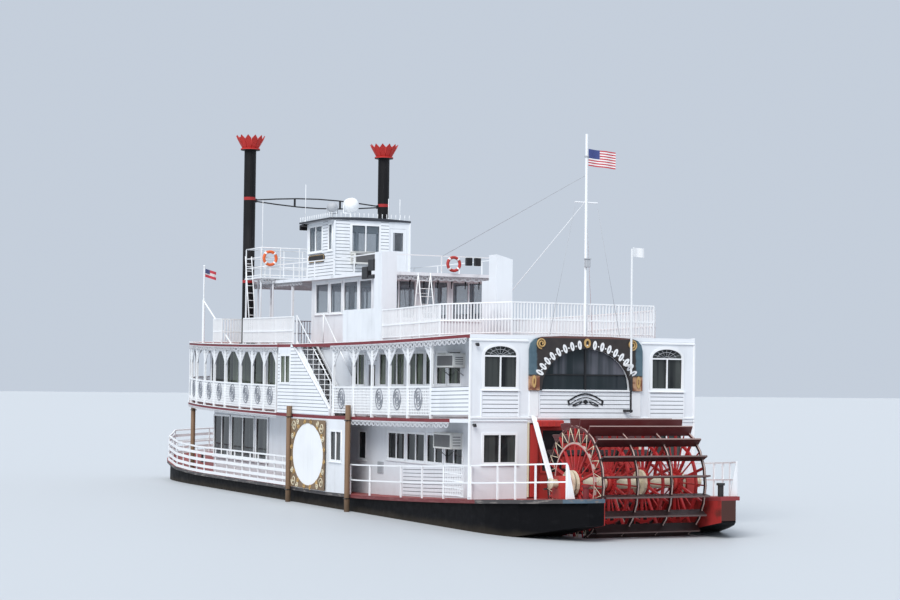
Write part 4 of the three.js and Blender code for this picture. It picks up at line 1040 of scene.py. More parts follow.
# %% Glazed fronts
GLAZED_PROUD = 0.052
SALOON = [(20.5, 21.9), (22.1, 24.95), (25.15, 27.25)]
GALLERY_AHEAD = [(17.5, 19.0), (19.15, 20.65), (20.8, 22.3), (22.45, 23.95), (24.1, 25.6), (25.75, 27.7)]
glazed = [over_deck("main", *span, 0.72, 2.5, 1 if span[1] - span[0] < 2 else 2) for span in SALOON]
windows_on_side("saloon_light", glazed, CABIN_Y + GLAZED_PROUD, cabin_glass)
glazed = [over_deck("second", *span, 0.9, 2.46, 1) for span in GALLERY_AHEAD]
windows_on_side("gallery_ahead_light", glazed, CABIN_Y + GLAZED_PROUD, gallery_glass)
print("pieces", piece_count)

# %% [markdown]
# ## Lapped siding
# Large parts of the walls are covered with horizontal boards that lap over each other. Each board is a
# wedge: its lower edge stands proud of the board below. Its top edge slopes back under the next board, and
# that narrow slope is painted dark as painted shade, the shadow line under each lap. The shader finds it by
# the way it faces. One board is modelled as a block, cut along its length near the top and sloped back above
# the cut, and it is copied up the wall.

# %% A run of boards
LAP = 0.13
SHADE_LINE = 0.024


def siding_finish():
    finish = weathered("siding_paint", (0.80, 0.83, 0.87), (0.54, 0.56, 0.58), streak=0.25)
    paint = Value(finish, finish.shader.inputs["Base Color"].links[0].from_socket)
    # Faces that look upwards, the sloped top of each board, get a dark colour: painted shade under the lap
    # above.
    finish.colour(finish.mix(finish.upward().above(0.2), paint, (0.20, 0.22, 0.25)))
    return finish


siding_paint = siding_finish()


def board_run(u0, u1, low, high):
    """Boards between two lengths, drawn as a wall in XZ whose outer side is -Y."""
    count = max(1, round((high - low) / LAP))
    step = (high - low) / count
    plank = block((u0, u1), (-0.02, 0.004), (low, low + step), 0)
    shape(plank, ("bisect", {"plane_co": (0, 0, low + step - SHADE_LINE), "plane_no": (0, 0, 1)}))
    for vertex in plank.data.vertices:
        if vertex.co.y < 0 and vertex.co.z > low + step / 2:
            vertex.co.y = -0.009 if vertex.co.z < low + step - SHADE_LINE / 2 else -0.001
    return repeated(plank, [shift(0, 0, i * step) for i in range(count)])


def cut_below(obj, point, normal):
    """Cuts a mesh with a plane, throws away the side that the normal points to and closes the cut."""
    plane = {"plane_co": point, "plane_no": tuple(Vector(normal).normalized())}
    return shape(obj, ("bisect", {**plane, "use_fill": True, "clear_outer": True}))


def siding_on_side(obj, wall_y):
    """Turns a run drawn towards -Y so that it lies on a wall that faces port."""
    return placed(turned_over(obj), shift(0, wall_y, 0))


def siding_across(obj, face_x, direction):
    """Turns a run drawn towards -Y to a cross wall that faces ahead, or astern where direction is -1."""
    return placed(obj, shift(face_x, 0, 0) @ Matrix.Rotation(direction * math.pi / 2, 4, "Z"))


print("a siding board is", LAP, "m high")

# %% [markdown]
# The gallery cabin is sided below its sills, from the stern to the stair, and the boards run down to the
# deck. The main cabin has a sided panel under its three middle windows. Each run follows the sheer of its
# deck because it is made in short lengths between the stations.

# %% Siding on the long walls
def run_along_deck(deck, x0, x1, above, below, wall_y):
    """Siding in lengths of a station, each starting on its own stretch of deck."""
    lengths = []
    stations = [STATION * i for i in range(1, 10)]
    edges = [x0] + [x for x in stations if x0 < x < x1] + [x1]
    for start, end in zip(edges, edges[1:]):
        run = board_run(start, end, above, below)
        slope = (level(deck, end) - level(deck, start)) / (end - start)
        lengths.append(placed(run, rising(slope, start, level(deck, start))))
    return siding_on_side(join(*lengths), wall_y)


both_sides(run_along_deck("second", 0.1, 9.45, 0.06, 1.04, CABIN_Y), "gallery_siding", siding_paint)
both_sides(run_along_deck("main", 2.5, 7.1, 0.06, 1.06, CABIN_Y), "cabin_siding", siding_paint)
both_sides(run_along_deck("second", 17.1, 27.9, 0.06, 0.81, CABIN_Y), "gallery_siding_ahead", siding_paint)
print("pieces", piece_count)

# %% [markdown]
# The wall beside the port stair is sided too. Its run is a rectangle cut by a plane along the slope of the
# stair, and a smaller piece closes the wall round the window.

# %% Siding beside the port stair
foot = (11.7, level("second", 11.7) + 0.25)
head = (15.3, level("third", 15.3) - SLAB)
wall_low = level("second", 14.0) + 0.03
window_low, window_high = stair_light[2], stair_light[3]
under_window = board_run(11.72, 17.0, wall_low, window_low - 0.06)
beside_aft = board_run(12.5, stair_light[0] - 0.05, window_low - 0.06, window_high + 0.42)
beside_ahead = board_run(stair_light[1] + 0.05, 17.0, window_low - 0.06, window_high + 0.05)
run = join(under_window, beside_aft)
slope_normal = (foot[1] - head[1], 0, head[0] - foot[0])
run = cut_below(run, (foot[0] + 0.06, 0, foot[1]), slope_normal)
stair_siding = siding_on_side(join(run, beside_ahead), BEAM_HALF)
finish_piece(stair_siding, "stair_siding", siding_paint)
print("pieces", piece_count)

# %% [markdown]
# Across the stern the boards fill the panel under each arched window and the wide panel under the arch.
# A flat trim frames each panel, as on the real wall.

# %% Siding on the stern
def stern_panel(y0, y1, low, high):
    parts = [siding_across(board_run(-y1, -y0, low, high), 0, -1)]
    for y in (y0 - 0.05, y1):
        parts.append(block((-0.028, 0.002), (y, y + 0.05), (low - 0.03, high + 0.03), 0.004))
    return join(*parts)


PANEL_FOOT, ARCH_HALF = 4.56, 1.66
panel = stern_panel(TOWER_Y[0] - 0.03, TOWER_Y[1] + 0.03, PANEL_FOOT, SECOND_STERN + 0.88)
both_sides(panel, "tower_siding", siding_paint)
panel = stern_panel(-ARCH_HALF, ARCH_HALF, PANEL_FOOT, 5.38)
finish_piece(panel, "stern_siding", siding_paint)
print("pieces", piece_count)

# %% [markdown]
# The pilothouse is sided from its foot to its sills on all four sides, and up to the eaves between the
# windows. The corner boards cover the ends of the runs.

# %% Siding and corners of the pilothouse
foot, top = PILOT_FLOOR + 0.02, PILOT_TOP - 0.02
side_sill, cross_sill = PILOT_FLOOR + 1.06, PILOT_FLOOR + 0.98
low_run = board_run(PILOT_AFT + 0.02, PILOT_AHEAD - 0.02, foot, side_sill)
between = board_run(18.22, 18.75, side_sill, top)
side_run = siding_on_side(join(low_run, between), PILOT_HALF)
aft_run = board_run(0.03 - PILOT_HALF, 0.72, foot, cross_sill)
aft_port = board_run(0.03 - PILOT_HALF, -1.0, cross_sill, top)
beside_door = board_run(0.36, 0.72, cross_sill, top)
aft_run = siding_across(join(aft_run, aft_port, beside_door), PILOT_AFT, -1)
front_run = siding_across(board_run(0.03 - PILOT_HALF, PILOT_HALF - 0.03, foot, cross_sill), PILOT_AHEAD, 1)
pilot_pieces = [side_run, starboard_of(side_run), aft_run, front_run]
for x in (PILOT_AFT, PILOT_AHEAD):
    for y in (-PILOT_HALF, PILOT_HALF):
        pilot_pieces.append(block(around(x, 0.045), around(y, 0.03), (PILOT_FLOOR + 0.01, top)))
finish_piece(pilot_pieces, "pilot_siding", siding_paint)
print("pieces", piece_count)

# %% [markdown]
# ## Where the rail posts stand
# Every railing follows the edge of its deck: straight amidships and round at the bow. The solids' posts
# stand at even steps along that line, so the same walk gives their places here, and ornament can be fixed
# to them or between them.

# %% Walks along a deck's edge
def line_along(x0, x1, y, step):
    count = max(1, round((x1 - x0) / step))
    return [(x0 + (x1 - x0) * i / count, y) for i in range(count + 1)]


def rounded_end(start, tip, half, power, steps=12):
    points = []
    for i in range(steps + 1):
        angle = math.pi / 2 * i / steps
        y = 0.0 if i == steps else half * math.cos(angle) ** (2 / power)
        points.append((start + (tip - start) * math.sin(angle) ** (2 / power), y))
    return points


def around_end(start, tapered, inset, step):
    port = [(max(start, x - inset / 2), max(0.0, y - inset)) for x, y in tapered]
    walk = port + starboard_walk(port[:-1])
    lengths = [math.dist(a, b) for a, b in zip(walk, walk[1:])]
    count = round(sum(lengths) / step)
    points = []
    for i in range(count + 1):
        left = sum(lengths) * i / count
        for k, length in enumerate(lengths):
            if left <= length or k == len(lengths) - 1:
                share = min(1.0, left / length)
                a, b = walk[k], walk[k + 1]
                points.append((a[0] + (b[0] - a[0]) * share, a[1] + (b[1] - a[1]) * share))
                break
            left -= length
    return points


def starboard_walk(points):
    return [(x, -y) for x, y in reversed(points)]


upper_curve = [(22.0, BEAM_HALF)] + rounded_end(22.0, 33.0, BEAM_HALF, 3)[1:]
bow_curve = [(24.0, BEAM_HALF)] + rounded_end(24.0, 34.5, BEAM_HALF, 4.4)[1:]
RAIL_Y, THIRD_RAIL_Y, RAIL_INSET = 4.10, 4.08, 0.06
BAY, FENCE_STEP = 1.45, 2.0
straight = line_along(17.3, 21.5, RAIL_Y, BAY)
gallery_walk = straight + around_end(21.5, upper_curve, RAIL_INSET, BAY)[1:-1] + starboard_walk(straight)
straight = line_along(15.5, 23.0, RAIL_Y, FENCE_STEP)
fence_walk = straight + around_end(23.0, bow_curve, RAIL_INSET, FENCE_STEP)[1:-1] + starboard_walk(straight)
third_port = [(x, THIRD_RAIL_Y) for x in (15.6, 17.5, 19.4, 21.3)]
third_port += [(22.3, 2.45), (24.05, 2.45), (24.0, THIRD_RAIL_Y), (25.2, 4.04), (25.2, 2.05)]
third_walk = third_port + [(25.2, 0.0)] + starboard_walk(third_port)
print("posts", len(gallery_walk), len(fence_walk), len(third_walk))

# %% [markdown]
# A bay is the stretch between two posts. An ornament is drawn once for a bay of a standard width, with X
# along the rail, Y up and Z outwards, and each bay's matrix stretches it to the bay and follows its deck.

# %% From one bay to every bay
def deck_point(deck, point):
    return Vector((point[0], point[1], level(deck, point[0])))


def axes(along, place, proud=0.0):
    """Lays X along a rail, Y up and Z outwards, from a place that is moved outwards by proud."""
    out = Vector((0, 0, 1)).cross(Vector((along.x, along.y, 0)).normalized())
    start = place + out * proud
    return Matrix((
        (along.x, 0, out.x, start.x),
        (along.y, 0, out.y, start.y),
        (along.z, 1, out.z, start.z),
        (0, 0, 0, 1),
    ))


def level_line(a, b):
    """The direction from one point of a walk to another, one metre long."""
    return Vector((b[0] - a[0], b[1] - a[1], 0)).normalized()


def bay_matrices(walk, deck, width):
    """Maps (0 to width, height, depth) onto each bay of the walk."""
    matrices = []
    for a, b in zip(walk, walk[1:]):
        start, end = deck_point(deck, a), deck_point(deck, b)
        matrices.append(axes((end - start) / width, start))
    return matrices


def centred_in_bays(walk, deck, height, proud):
    """Sets an ornament at the middle of every bay, turned along it but not stretched."""
    matrices = []
    for a, b in zip(walk, walk[1:]):
        middle = (deck_point(deck, a) + deck_point(deck, b)) / 2 + Vector((0, 0, height))
        matrices.append(axes(level_line(a, b), middle, proud))
    return matrices


def post_matrices(walk, deck):
    """Maps an ornament centred on a post, true to size, turned along the rail."""
    matrices = []
    for i, point in enumerate(walk):
        before, after = walk[max(0, i - 1)], walk[min(len(walk) - 1, i + 1)]
        matrices.append(axes(level_line(before, after), deck_point(deck, point)))
    return matrices


def fixed_faces(obj):
    """Turns all faces outwards again, after copies that were stretched or turned over."""
    return shape(obj, ("normals_make_consistent", {"inside": False}))


print("bays of the forward gallery", len(bay_matrices(gallery_walk, "second", 1.0)))

# %% [markdown]
# ## Lace of the galleries
# Steamboat lace is fretwork sawn from thin boards. Between two posts a plate hangs from the deck above: a
# narrow band with drops, and a pierced bracket on each post, whose curves meet in an arch. It is one flat
# outline with holes, so a filled curve makes it in one go, and the copies follow the posts.

# %% One bay of lace
GALLERY_HEIGHT = DECK_Z["third"] - SLAB - DECK_Z["second"]
BAND = 0.15
BRACKET_DROP, BRACKET_REACH = 0.76, 0.56


def bracket_edge(share):
    """Height below the deck and distance from the post along the bracket's curve."""
    reach = BRACKET_REACH * share ** 1.05
    drop = BRACKET_DROP - (BRACKET_DROP - BAND) * share ** 0.85
    return reach, drop


def lace_bay(width):
    """Lace for one bay: X from post to post, Y up from the floor, thickness about Z."""
    top, post = GALLERY_HEIGHT - 0.004, 0.045
    left = [bracket_edge(i / 10) for i in range(11)]
    outline = [(post, top)] + [(post + reach, top - drop) for reach, drop in left]
    drops = 5
    span = width - 2 * (post + BRACKET_REACH)
    for i in range(drops):
        centre = post + BRACKET_REACH + span * (i + 0.5) / drops
        outline.append((centre, top - BAND - 0.045))
        outline.append((centre + span / drops / 2 * 0.8, top - BAND))
    outline += [(width - x, y) for x, y in reversed(outline[1:12])]
    outline.append((width - post, top))
    loops = [outline]
    for side in (1, -1):
        at_post = post if side > 0 else width - post
        loops += [[(at_post + side * u, top - v) for u, v in hole] for hole in bracket_holes()]
    count = max(3, round((width - 2 * post - 0.8) / 0.1))
    for i in range(count):
        centre = post + 0.40 + (width - 2 * post - 0.80) * (i + 0.5) / count
        loops.append(ring_points((centre, top - 0.08), (0.034, 0.052), 8))
    return fret(loops, 0.022)


def bracket_holes():
    """Piercings of the port side bracket: leaves that follow the curve and eyes between them."""
    holes = []
    for u, v, wide, tall in (
        (0.045, 0.56, 0.026, 0.055), (0.050, 0.43, 0.034, 0.055), (0.135, 0.40, 0.028, 0.040),
        (0.060, 0.29, 0.042, 0.060), (0.165, 0.27, 0.042, 0.058), (0.262, 0.245, 0.030, 0.038),
        (0.060, 0.13, 0.046, 0.070), (0.165, 0.12, 0.042, 0.066), (0.262, 0.12, 0.038, 0.058),
        (0.350, 0.105, 0.032, 0.048),
    ):
        holes.append(ring_points((u, v), (wide, tall), 8))
    return holes


AFT_POSTS = [(x, RAIL_Y) for x in (2.96, 4.8, 6.34, 7.84, 9.5, 11.4)]
print("lace hangs", round(GALLERY_HEIGHT, 2), "m above the gallery floor")

# %% [markdown]
# The forward gallery has lace in every bay right round the bow. In the aft gallery the bays differ in
# width, so each gets its own plate rather than a stretched one.

# %% Lace in both galleries
lace_pale = weathered("lace_pale", (0.70, 0.72, 0.75), (0.40, 0.41, 0.43), rough=0.45, streak=0.5)
forward_lace = repeated(lace_bay(BAY), bay_matrices(gallery_walk, "second", BAY))
finish_piece(fixed_faces(forward_lace), "lace_forward", lace_pale)
aft_plates = []
for a, b in zip(AFT_POSTS, AFT_POSTS[1:]):
    width = b[0] - a[0]
    aft_plates.append(repeated(lace_bay(width), bay_matrices([a, b], "second", width)))
both_sides(fixed_faces(join(*aft_plates)), "lace_aft", lace_pale)

# %% [markdown]
# ## Fringe under the deck edges
# A scalloped fringe hangs outside the deck edges: a row of half-moons, each with a hole. One scallop is
# fretwork a third of a metre long, and the copies run along the port edge, round the bow where the deck
# does, and back.

# %% Scalloped fringe
SCALLOP = 0.36


def scallop(drop):
    outline = [(0, 0), (0, -0.06)]
    for i in range(1, 8):
        angle = math.pi * i / 8
        x = SCALLOP * (0.5 - 0.5 * math.cos(angle))
        outline.append((x, -0.06 - (drop - 0.06) * math.sin(angle) ** 0.8))
    outline += [(SCALLOP, -0.06), (SCALLOP, 0)]
    holes = [
        ring_points((SCALLOP / 2, -drop * 0.56), (0.075, drop * 0.26), 10),
        ring_points((SCALLOP * 0.16, -0.062), (0.036, 0.034), 8),
        ring_points((SCALLOP * 0.84, -0.062), (0.036, 0.034), 8),
    ]
    return fret([outline] + holes, 0.014)


def edge_walk(start, curve, inset):
    """Points one scallop apart along a deck's edge, from port round the bow to starboard."""
    side = line_along(start, 21.5, BEAM_HALF - inset, SCALLOP)
    return side + around_end(21.5, curve, inset, SCALLOP)[1:-1] + starboard_walk(side)


def fringe(walk, deck, drop):
    """Scallops that hang from the underside of a deck's edge, side by side along a walk."""
    places = [shift(0, 0, 0.015 - SLAB) @ m for m in bay_matrices(walk, deck, SCALLOP)]
    return fixed_faces(repeated(scallop(drop), places))


FRINGE_OUT = -0.012
forward_edge = edge_walk(17.1, upper_curve, FRINGE_OUT)
# The fringes are grey: dirt, and painted shade under the deck edge.
finish_piece(fringe(forward_edge, "third", 0.17), "fringe_third_forward", lace_grey)
finish_piece(fringe(forward_edge, "second", 0.11), "fringe_second_forward", lace_grey)
aft_edge = line_along(0.25, 11.6, BEAM_HALF - FRINGE_OUT, SCALLOP)
both_sides(fringe(aft_edge, "third", 0.2), "fringe_third_aft", lace_grey)
low_edge = line_along(1.48, 9.9, BEAM_HALF - FRINGE_OUT, SCALLOP)
both_sides(fringe(low_edge, "second", 0.19), "fringe_second_aft", lace_grey)
print("scallops", len(forward_edge) - 1, len(aft_edge) - 1, "pieces", piece_count)

# %% [markdown]
# A thin white moulding runs along the top of the maroon edge of each upper deck. The bar is drawn along
# the deck's own edge points, so it bends with the sheer.

# %% Edge mouldings
def deck_bar(walk, deck, above, radius):
    return rod([(x, y, level(deck, x) + above) for x, y in walk], radius)


moulding_walk = forward_edge[::2] + forward_edge[-1:]
for deck in ("third", "second"):
    finish_piece(deck_bar(moulding_walk, deck, 0.0, 0.02), f"edge_moulding_{deck}", trim_white)
aft_line = line_along(0.0, 17.0, BEAM_HALF - 0.01, 1.0)
both_sides(deck_bar(aft_line, "third", 0.0, 0.016), "edge_moulding_aft", trim_white)
print("pieces", piece_count)

# %% [markdown]
# ## Rail panels and ovals
# Below the forward gallery's rail is a lattice of thin white battens. In the middle of each bay it carries
# an oval, a ring with scrolls inside. The lattice is a few long battens each way. The oval is bent from
# thin bars and is grey: weathered paint, and painted shade on the castings.

# %% The lattice of one bay
PANEL_LOW, PANEL_HIGH = 0.13, 1.03


def lattice_bay():
    battens = []
    columns, rows = 13, 9
    for i in range(columns + 1):
        x = 0.045 + (BAY - 0.09) * i / columns
        battens.append(block(around(x, 0.016), (PANEL_LOW, PANEL_HIGH), (-0.010, 0.012), 0))
    for i in range(rows + 1):
        y = PANEL_LOW + (PANEL_HIGH - PANEL_LOW) * i / rows
        battens.append(block((0.03, BAY - 0.03), around(y, 0.018), (-0.014, 0.010), 0))
    return join(*battens)


def oval_ornament():
    """A ring, an S of two scrolls and a small eye between them, about the origin in XY."""
    rods = [ring_rod((0, 0), (0.29, 0.355), 28, 0.024)]
    for sign in (1, -1):
        for reach, rise, thick in ((0.19, 0.20, 0.020), (0.11, 0.11, 0.016)):
            radii = (sign * reach, sign * rise)
            winding = spiral((0, sign * 0.07), radii, -0.1 * math.pi, 1.35 * math.pi, 0.35, 12)
            rods.append(rod([(u, v, 0) for u, v in winding], thick))
    rods.append(ring_rod((0, 0), (0.05, 0.06), 10, 0.014))
    return join(*rods)


lattice = repeated(lattice_bay(), bay_matrices(gallery_walk, "second", BAY))
finish_piece(fixed_faces(lattice), "rail_lattice_forward", trim_white)


# The ovals' grey is weathered paint and painted shade together.
oval_grey = weathered("oval_grey", (0.27, 0.29, 0.33), (0.16, 0.17, 0.19), rough=0.5, streak=0.3)
ovals = repeated(oval_ornament(), centred_in_bays(gallery_walk, "second", 0.65, 0.02))
finish_piece(fixed_faces(ovals), "rail_ovals_forward", oval_grey)
print("pieces", piece_count)

# %% [markdown]
# The aft gallery has the same lattice on both sides, with an oval in each of its longer bays. From its
# aftmost post to the stern the rail is closed with lapped boards instead.

# %% Panels of the aft gallery
aft_lattice = repeated(lattice_bay(), bay_matrices(AFT_POSTS, "second", BAY))
both_sides(fixed_faces(aft_lattice), "rail_lattice_aft", trim_white)
end_boards = run_along_deck("second", 0.1, 2.93, PANEL_LOW, PANEL_HIGH, RAIL_Y + 0.015)
both_sides(end_boards, "gallery_end_siding", siding_paint)
aft_ovals = []
for x in (3.95, 5.67, 7.19, 10.6):
    aft_ovals += centred_in_bays([(x - 0.5, RAIL_Y), (x + 0.5, RAIL_Y)], "second", 0.65, 0.02)
both_sides(fixed_faces(repeated(oval_ornament(), aft_ovals)), "rail_ovals_aft", oval_grey)
print("pieces", piece_count)

# %% [markdown]
# ## Boards and balusters of the railings
# The main deck fence carries four flat boards with uprights about a metre apart. The aft rails of the main
# deck are plain, and have a gate panel of lattice at the stern. The third deck's rails are filled with thin
# upright balusters. The solids already have the posts and rails.

# %% Fence boards round the bow
FENCE_POST_HALF = 0.025


def boards_along(walk, deck, heights, board_height, proud):
    """Flat boards on the outer side of a walk, each at its own height above the deck."""
    made = []
    for height in heights:
        plank = block((0, 1), around(height, board_height / 2), (proud, proud + 0.02), 0)
        made.append(repeated(plank, bay_matrices(walk, deck, 1.0)))
    return fixed_faces(join(*made))


fence_boards = boards_along(fence_walk, "main", (0.86, 0.58, 0.30, 0.075), 0.12, FENCE_POST_HALF)
stakes = [((a[0] + b[0]) / 2, (a[1] + b[1]) / 2) for a, b in zip(fence_walk, fence_walk[1:])]
stake = block((-0.022, 0.022), (0.01, 1.13), (-0.02, 0.025), 0.004)
stakes_piece = repeated(stake, post_matrices(stakes, "main"))
finish_piece([fence_boards, fixed_faces(stakes_piece)], "fence_boards", trim_white)
print("fence stakes", len(stakes))

# %% [markdown]
# A baluster is a thin square bar from deck to rail. Hundreds are needed, so each has only its six sides,
# and every bay gets as many as fit at an even spacing.

# %% Balusters of the third deck
RAIL_HEIGHT = 1.06


def balusters(walk, deck, spacing, thick=0.016):
    """Balusters between the posts of a walk, and the low bar that they stand on."""
    places = []
    for a, b in zip(walk, walk[1:]):
        start, end = deck_point(deck, a), deck_point(deck, b)
        count = max(2, round((end - start).length / spacing))
        for i in range(1, count):
            places.append(Matrix.Translation(start + (end - start) * i / count))
    one = upright(0, 0, thick, 0.07, RAIL_HEIGHT)
    return join(repeated(one, places), deck_bar(walk, deck, 0.09, 0.018))


third_aft_port = [(x, THIRD_RAIL_Y) for x in (7.05, 5.5, 3.95, 2.4)] + [(0.14, y) for y in (2.63, 1.3, 0.0)]
third_aft_walk = third_aft_port + starboard_walk(third_aft_port[:-1])
finish_piece(balusters(third_aft_walk, "third", 0.115), "balusters_third_aft", trim_white)
finish_piece(balusters(third_walk, "third", 0.13), "balusters_third_forward", trim_white)

# %% [markdown]
# The solids have no rail where the port side has its stair. On the starboard side, which has none, the same
# kind of rail closes the third deck and the second deck there.

# %% Rails amidships to starboard
def rail_run(walk, deck):
    """A whole new rail: posts, top rail, low rail and balusters."""
    post = upright(0, 0, 0.024, 0.0, RAIL_HEIGHT, 0.004)
    posts = repeated(post, [Matrix.Translation(deck_point(deck, p)) for p in walk])
    return join(balusters(walk, deck, 0.115), deck_bar(walk, deck, RAIL_HEIGHT, 0.022), posts)


beside_house = [(x, -THIRD_RAIL_Y) for x in (15.3, 13.9, 12.4, 11.0, 9.4, 7.05)]
finish_piece(rail_run(beside_house, "third"), "rail_third_starboard", trim_white)
amidships = [(x, -RAIL_Y) for x in (11.46, 12.85, 14.25, 15.65, 17.04)]
finish_piece(rail_run(amidships, "second"), "rail_second_starboard", trim_white)
print("pieces", piece_count)

# %% [markdown]
# ## The arch board
# A dark board frames the wide arched light of the stern. A row of plain leaves follows its arch, one leaf
# drawn once and turned along an ellipse, with an eye between each two. Two scrolls sit in the top corners.

# %% Leaves and scrolls on the board
ARCH_FACE = -0.1


def on_arch(angle, half=1.84, rise=1.38, foot=5.5):
    """A place on the ellipse of the leaves, and the turn that points a leaf away from its middle."""
    y, z = half * math.cos(angle), foot + rise * math.sin(angle)
    outward = math.atan2(math.sin(angle) / rise, math.cos(angle) / half)
    return shift(y, z, 0) @ Matrix.Rotation(outward - math.pi / 2, 4, "Z")


def lens(half_width, half_height, count=6):
    """A pointed leaf about the origin, its tips above and below."""
    turns = [math.pi * i / count for i in range(count)]
    side = [(half_width * math.sin(turn), -half_height * math.cos(turn)) for turn in turns]
    return side + [(-u, -v) for u, v in side]


def leaf_ring(width, height, inner_width, inner_height, thick):
    """A leaf with a leaf-shaped hole."""
    return fret([lens(width, height), lens(inner_width, inner_height)], thick)


leaf = leaf_ring(0.072, 0.15, 0.018, 0.07, 0.02)
angles = [math.radians(20 + 140 * i / 16) for i in range(17) if i != 8]
leaves = across(repeated(leaf, [on_arch(angle) for angle in angles]), ARCH_FACE - 0.012)
eye = fret([ring_points((0, -0.02), (0.026, 0.026), 10)], 0.02)
between = [(a + b) / 2 for a, b in zip(angles, angles[1:])]
eyes = across(repeated(eye, [on_arch(angle) for angle in between]), ARCH_FACE - 0.012)
finish_piece([fixed_faces(leaves), fixed_faces(eyes)], "arch_leaves", trim_white)


scrolls = []
for side in (1, -1):
    outer, inner = 0.17, 0.035
    radii, shrink = (side * outer, outer), 1 - inner / outer
    winding = spiral((side * 1.68, 6.9), radii, -math.pi / 2, 3.8 * math.pi, shrink, 40)
    scrolls.append(bar([(ARCH_FACE - 0.03, y, z) for y, z in winding], 0.026))
crest_loops = [ring_points((0, 6.93), (0.12, 0.15), 20), ring_points((0, 6.93), (0.06, 0.085), 14)]
crest = across(fret(crest_loops, 0.03), ARCH_FACE - 0.016)
drops = []
for side in (1, -1):
    drop = across(leaf_ring(0.07, 0.2, 0.03, 0.1, 0.025), ARCH_FACE - 0.014)
    drops.append(placed(drop, shift(0, side * 1.93, 5.68)))
finish_piece([*scrolls, crest, *drops], "arch_scrolls", gold_paint, smooth=40)
print("pieces", piece_count)

# %% [markdown]
# Behind the board the light is one arched sheet, parted by an upright and a low cross bar. Below the bar the
# glass is backed by a dark green screen, so its paint changes with height.

# %% The arched light
arch_sheet = across(fret([arch_loop(-1.62, 1.62, 5.4, 5.53, 1.24, 28)], PANE_THICK), PANE_BACK)
finish_piece(arch_sheet, "arch_glass", stern_glass)
mullions = [
    block((0.0, 0.05), (-0.03, 0.03), (5.41, 6.75), 0.004),
    block((0.01, 0.05), (-1.6, 1.6), (5.89, 5.93), 0.004),
]
finish_piece(mullions, "arch_mullions", black_paint)
ledge = [block((-0.06, 0.0), (-ARCH_HALF, ARCH_HALF), (5.37, 5.42), 0.008)]
for side in (1, -1):
    ledge.append(block((-0.04, 0.0), around(side * 1.89, 0.17), (PANEL_FOOT, 5.38), 0.008))
finish_piece(ledge, "arch_ledge", trim_white)
print("pieces", piece_count)

# %% [markdown]
# Under the light a bare ribbon lies on the siding: an arched band with a plain lozenge and two leaves
# below it.

# %% Bare ribbon
def arched_band(half, rise, foot, depth, steps=16):
    """A band that follows a flat arc, as the outline of a ribbon."""
    shares = [i / steps for i in range(steps + 1)]
    over = [(half * (1 - 2 * share), foot + rise * math.sin(math.pi * share)) for share in shares]
    return over + [(y * 0.94, z - depth) for y, z in reversed(over)]


RIBBON_THICK = 0.014
ribbon_loops = [arched_band(0.67, 0.25, 5.07, 0.15), arched_band(0.61, 0.22, 5.055, 0.08)]
below = []
for side in (1, -1):
    turned = shift(side * 0.30, 4.98, 0) @ Matrix.Rotation(side * 1.2, 4, "Z")
    below.append(placed(leaf_ring(0.05, 0.2, 0.02, 0.12, RIBBON_THICK), turned))
lozenge = placed(fret([lens(0.11, 0.08, 2)], RIBBON_THICK), shift(0, 5.04, 0))
ribbon = across(join(fret(ribbon_loops, RIBBON_THICK), *below, lozenge), -0.03)
finish_piece(ribbon, "stern_ribbon", black_paint)
print("pieces", piece_count)

# %% [markdown]
# ## Trim of the stern wall
# Flat mouldings run across the stern at the deck heights. A white plank braces the corner panel against
# the port horn. Under the wall a red locker and a dark hatch belong to the engine room, and two small lamps
# hang at the port corner.

# %% Mouldings, brace, locker and lamps
def plank_between(start, end, width, thick):
    """A flat board between two points, its width across the boat."""
    a, b = Vector(start), Vector(end)
    along = (b - a).normalized()
    wide = along.cross(Vector((1, 0, 0))).normalized()
    thin = wide.cross(along)
    plank = block((-width / 2, width / 2), (-thick / 2, thick / 2), (0, (b - a).length), 0.008)
    return placed(plank, Matrix.Translation(a) @ Matrix((wide, thin, along)).transposed().to_4x4())


mouldings = []
for low, high in ((4.40, 4.43), (4.49, 4.55), (6.94, 7.0)):
    for y0, y1 in ((2.1, 4.15), (-4.15, -2.1)):
        mouldings.append(block((-0.035, 0.0), (y0, y1), (low, high), 0.008))
mouldings.append(block((-0.035, 0.0), (-2.1, 2.1), (4.49, 4.55), 0.008))
for side in (1, -1):
    edge = sorted((side * 4.10, side * 4.175))
    mouldings.append(block((-0.02, 0.06), edge, (2.02, 6.99), 0.01))
finish_piece(mouldings, "stern_mouldings", trim_white)
brace = plank_between((-0.08, 1.91, 4.56), (-2.24, 2.42, 2.6), 0.17, 0.06)
finish_piece(brace, "horn_brace", trim_white)
RAIL_PLATE = [(3.0, 3.22), (2.965, 3.22), (2.74, 2.215), (3.0, 2.215)]
both_sides(across(fret([RAIL_PLATE], 0.02), -4.27), "horn_rail_plates", trim_white)

locker = [block((-0.30, 0.0), (0.92, 1.9), (4.23, 4.45), 0.03)]
locker += [block((-0.33, -0.28), (y, y + 0.03), (4.25, 4.43), 0.006) for y in (1.0, 1.25, 1.5, 1.75)]
locker.append(block((-0.02, 0.075), (1.72, 1.99), (2.0, 4.3), 0.01))
finish_piece(locker, "engine_locker", red_paint)
trims = [block((-0.03, 0.02), around(side * WELL_HALF, 0.03), (2.0, 4.38), 0.01) for side in (1, -1)]
finish_piece(trims, "well_corner_trim", cream_paint)
hatch_loops = [rectangle(0.72, 1.6, 2.75, 4.2), rectangle(0.80, 1.52, 2.83, 4.12)]
hatch = across(fret(hatch_loops, 0.03), 0.065)
finish_piece(hatch, "engine_hatch_frame", red_paint)
hatch_panel = across(fret([rectangle(0.79, 1.53, 2.82, 4.13)], 0.008), 0.072)
finish_piece(hatch_panel, "engine_hatch", black_paint)


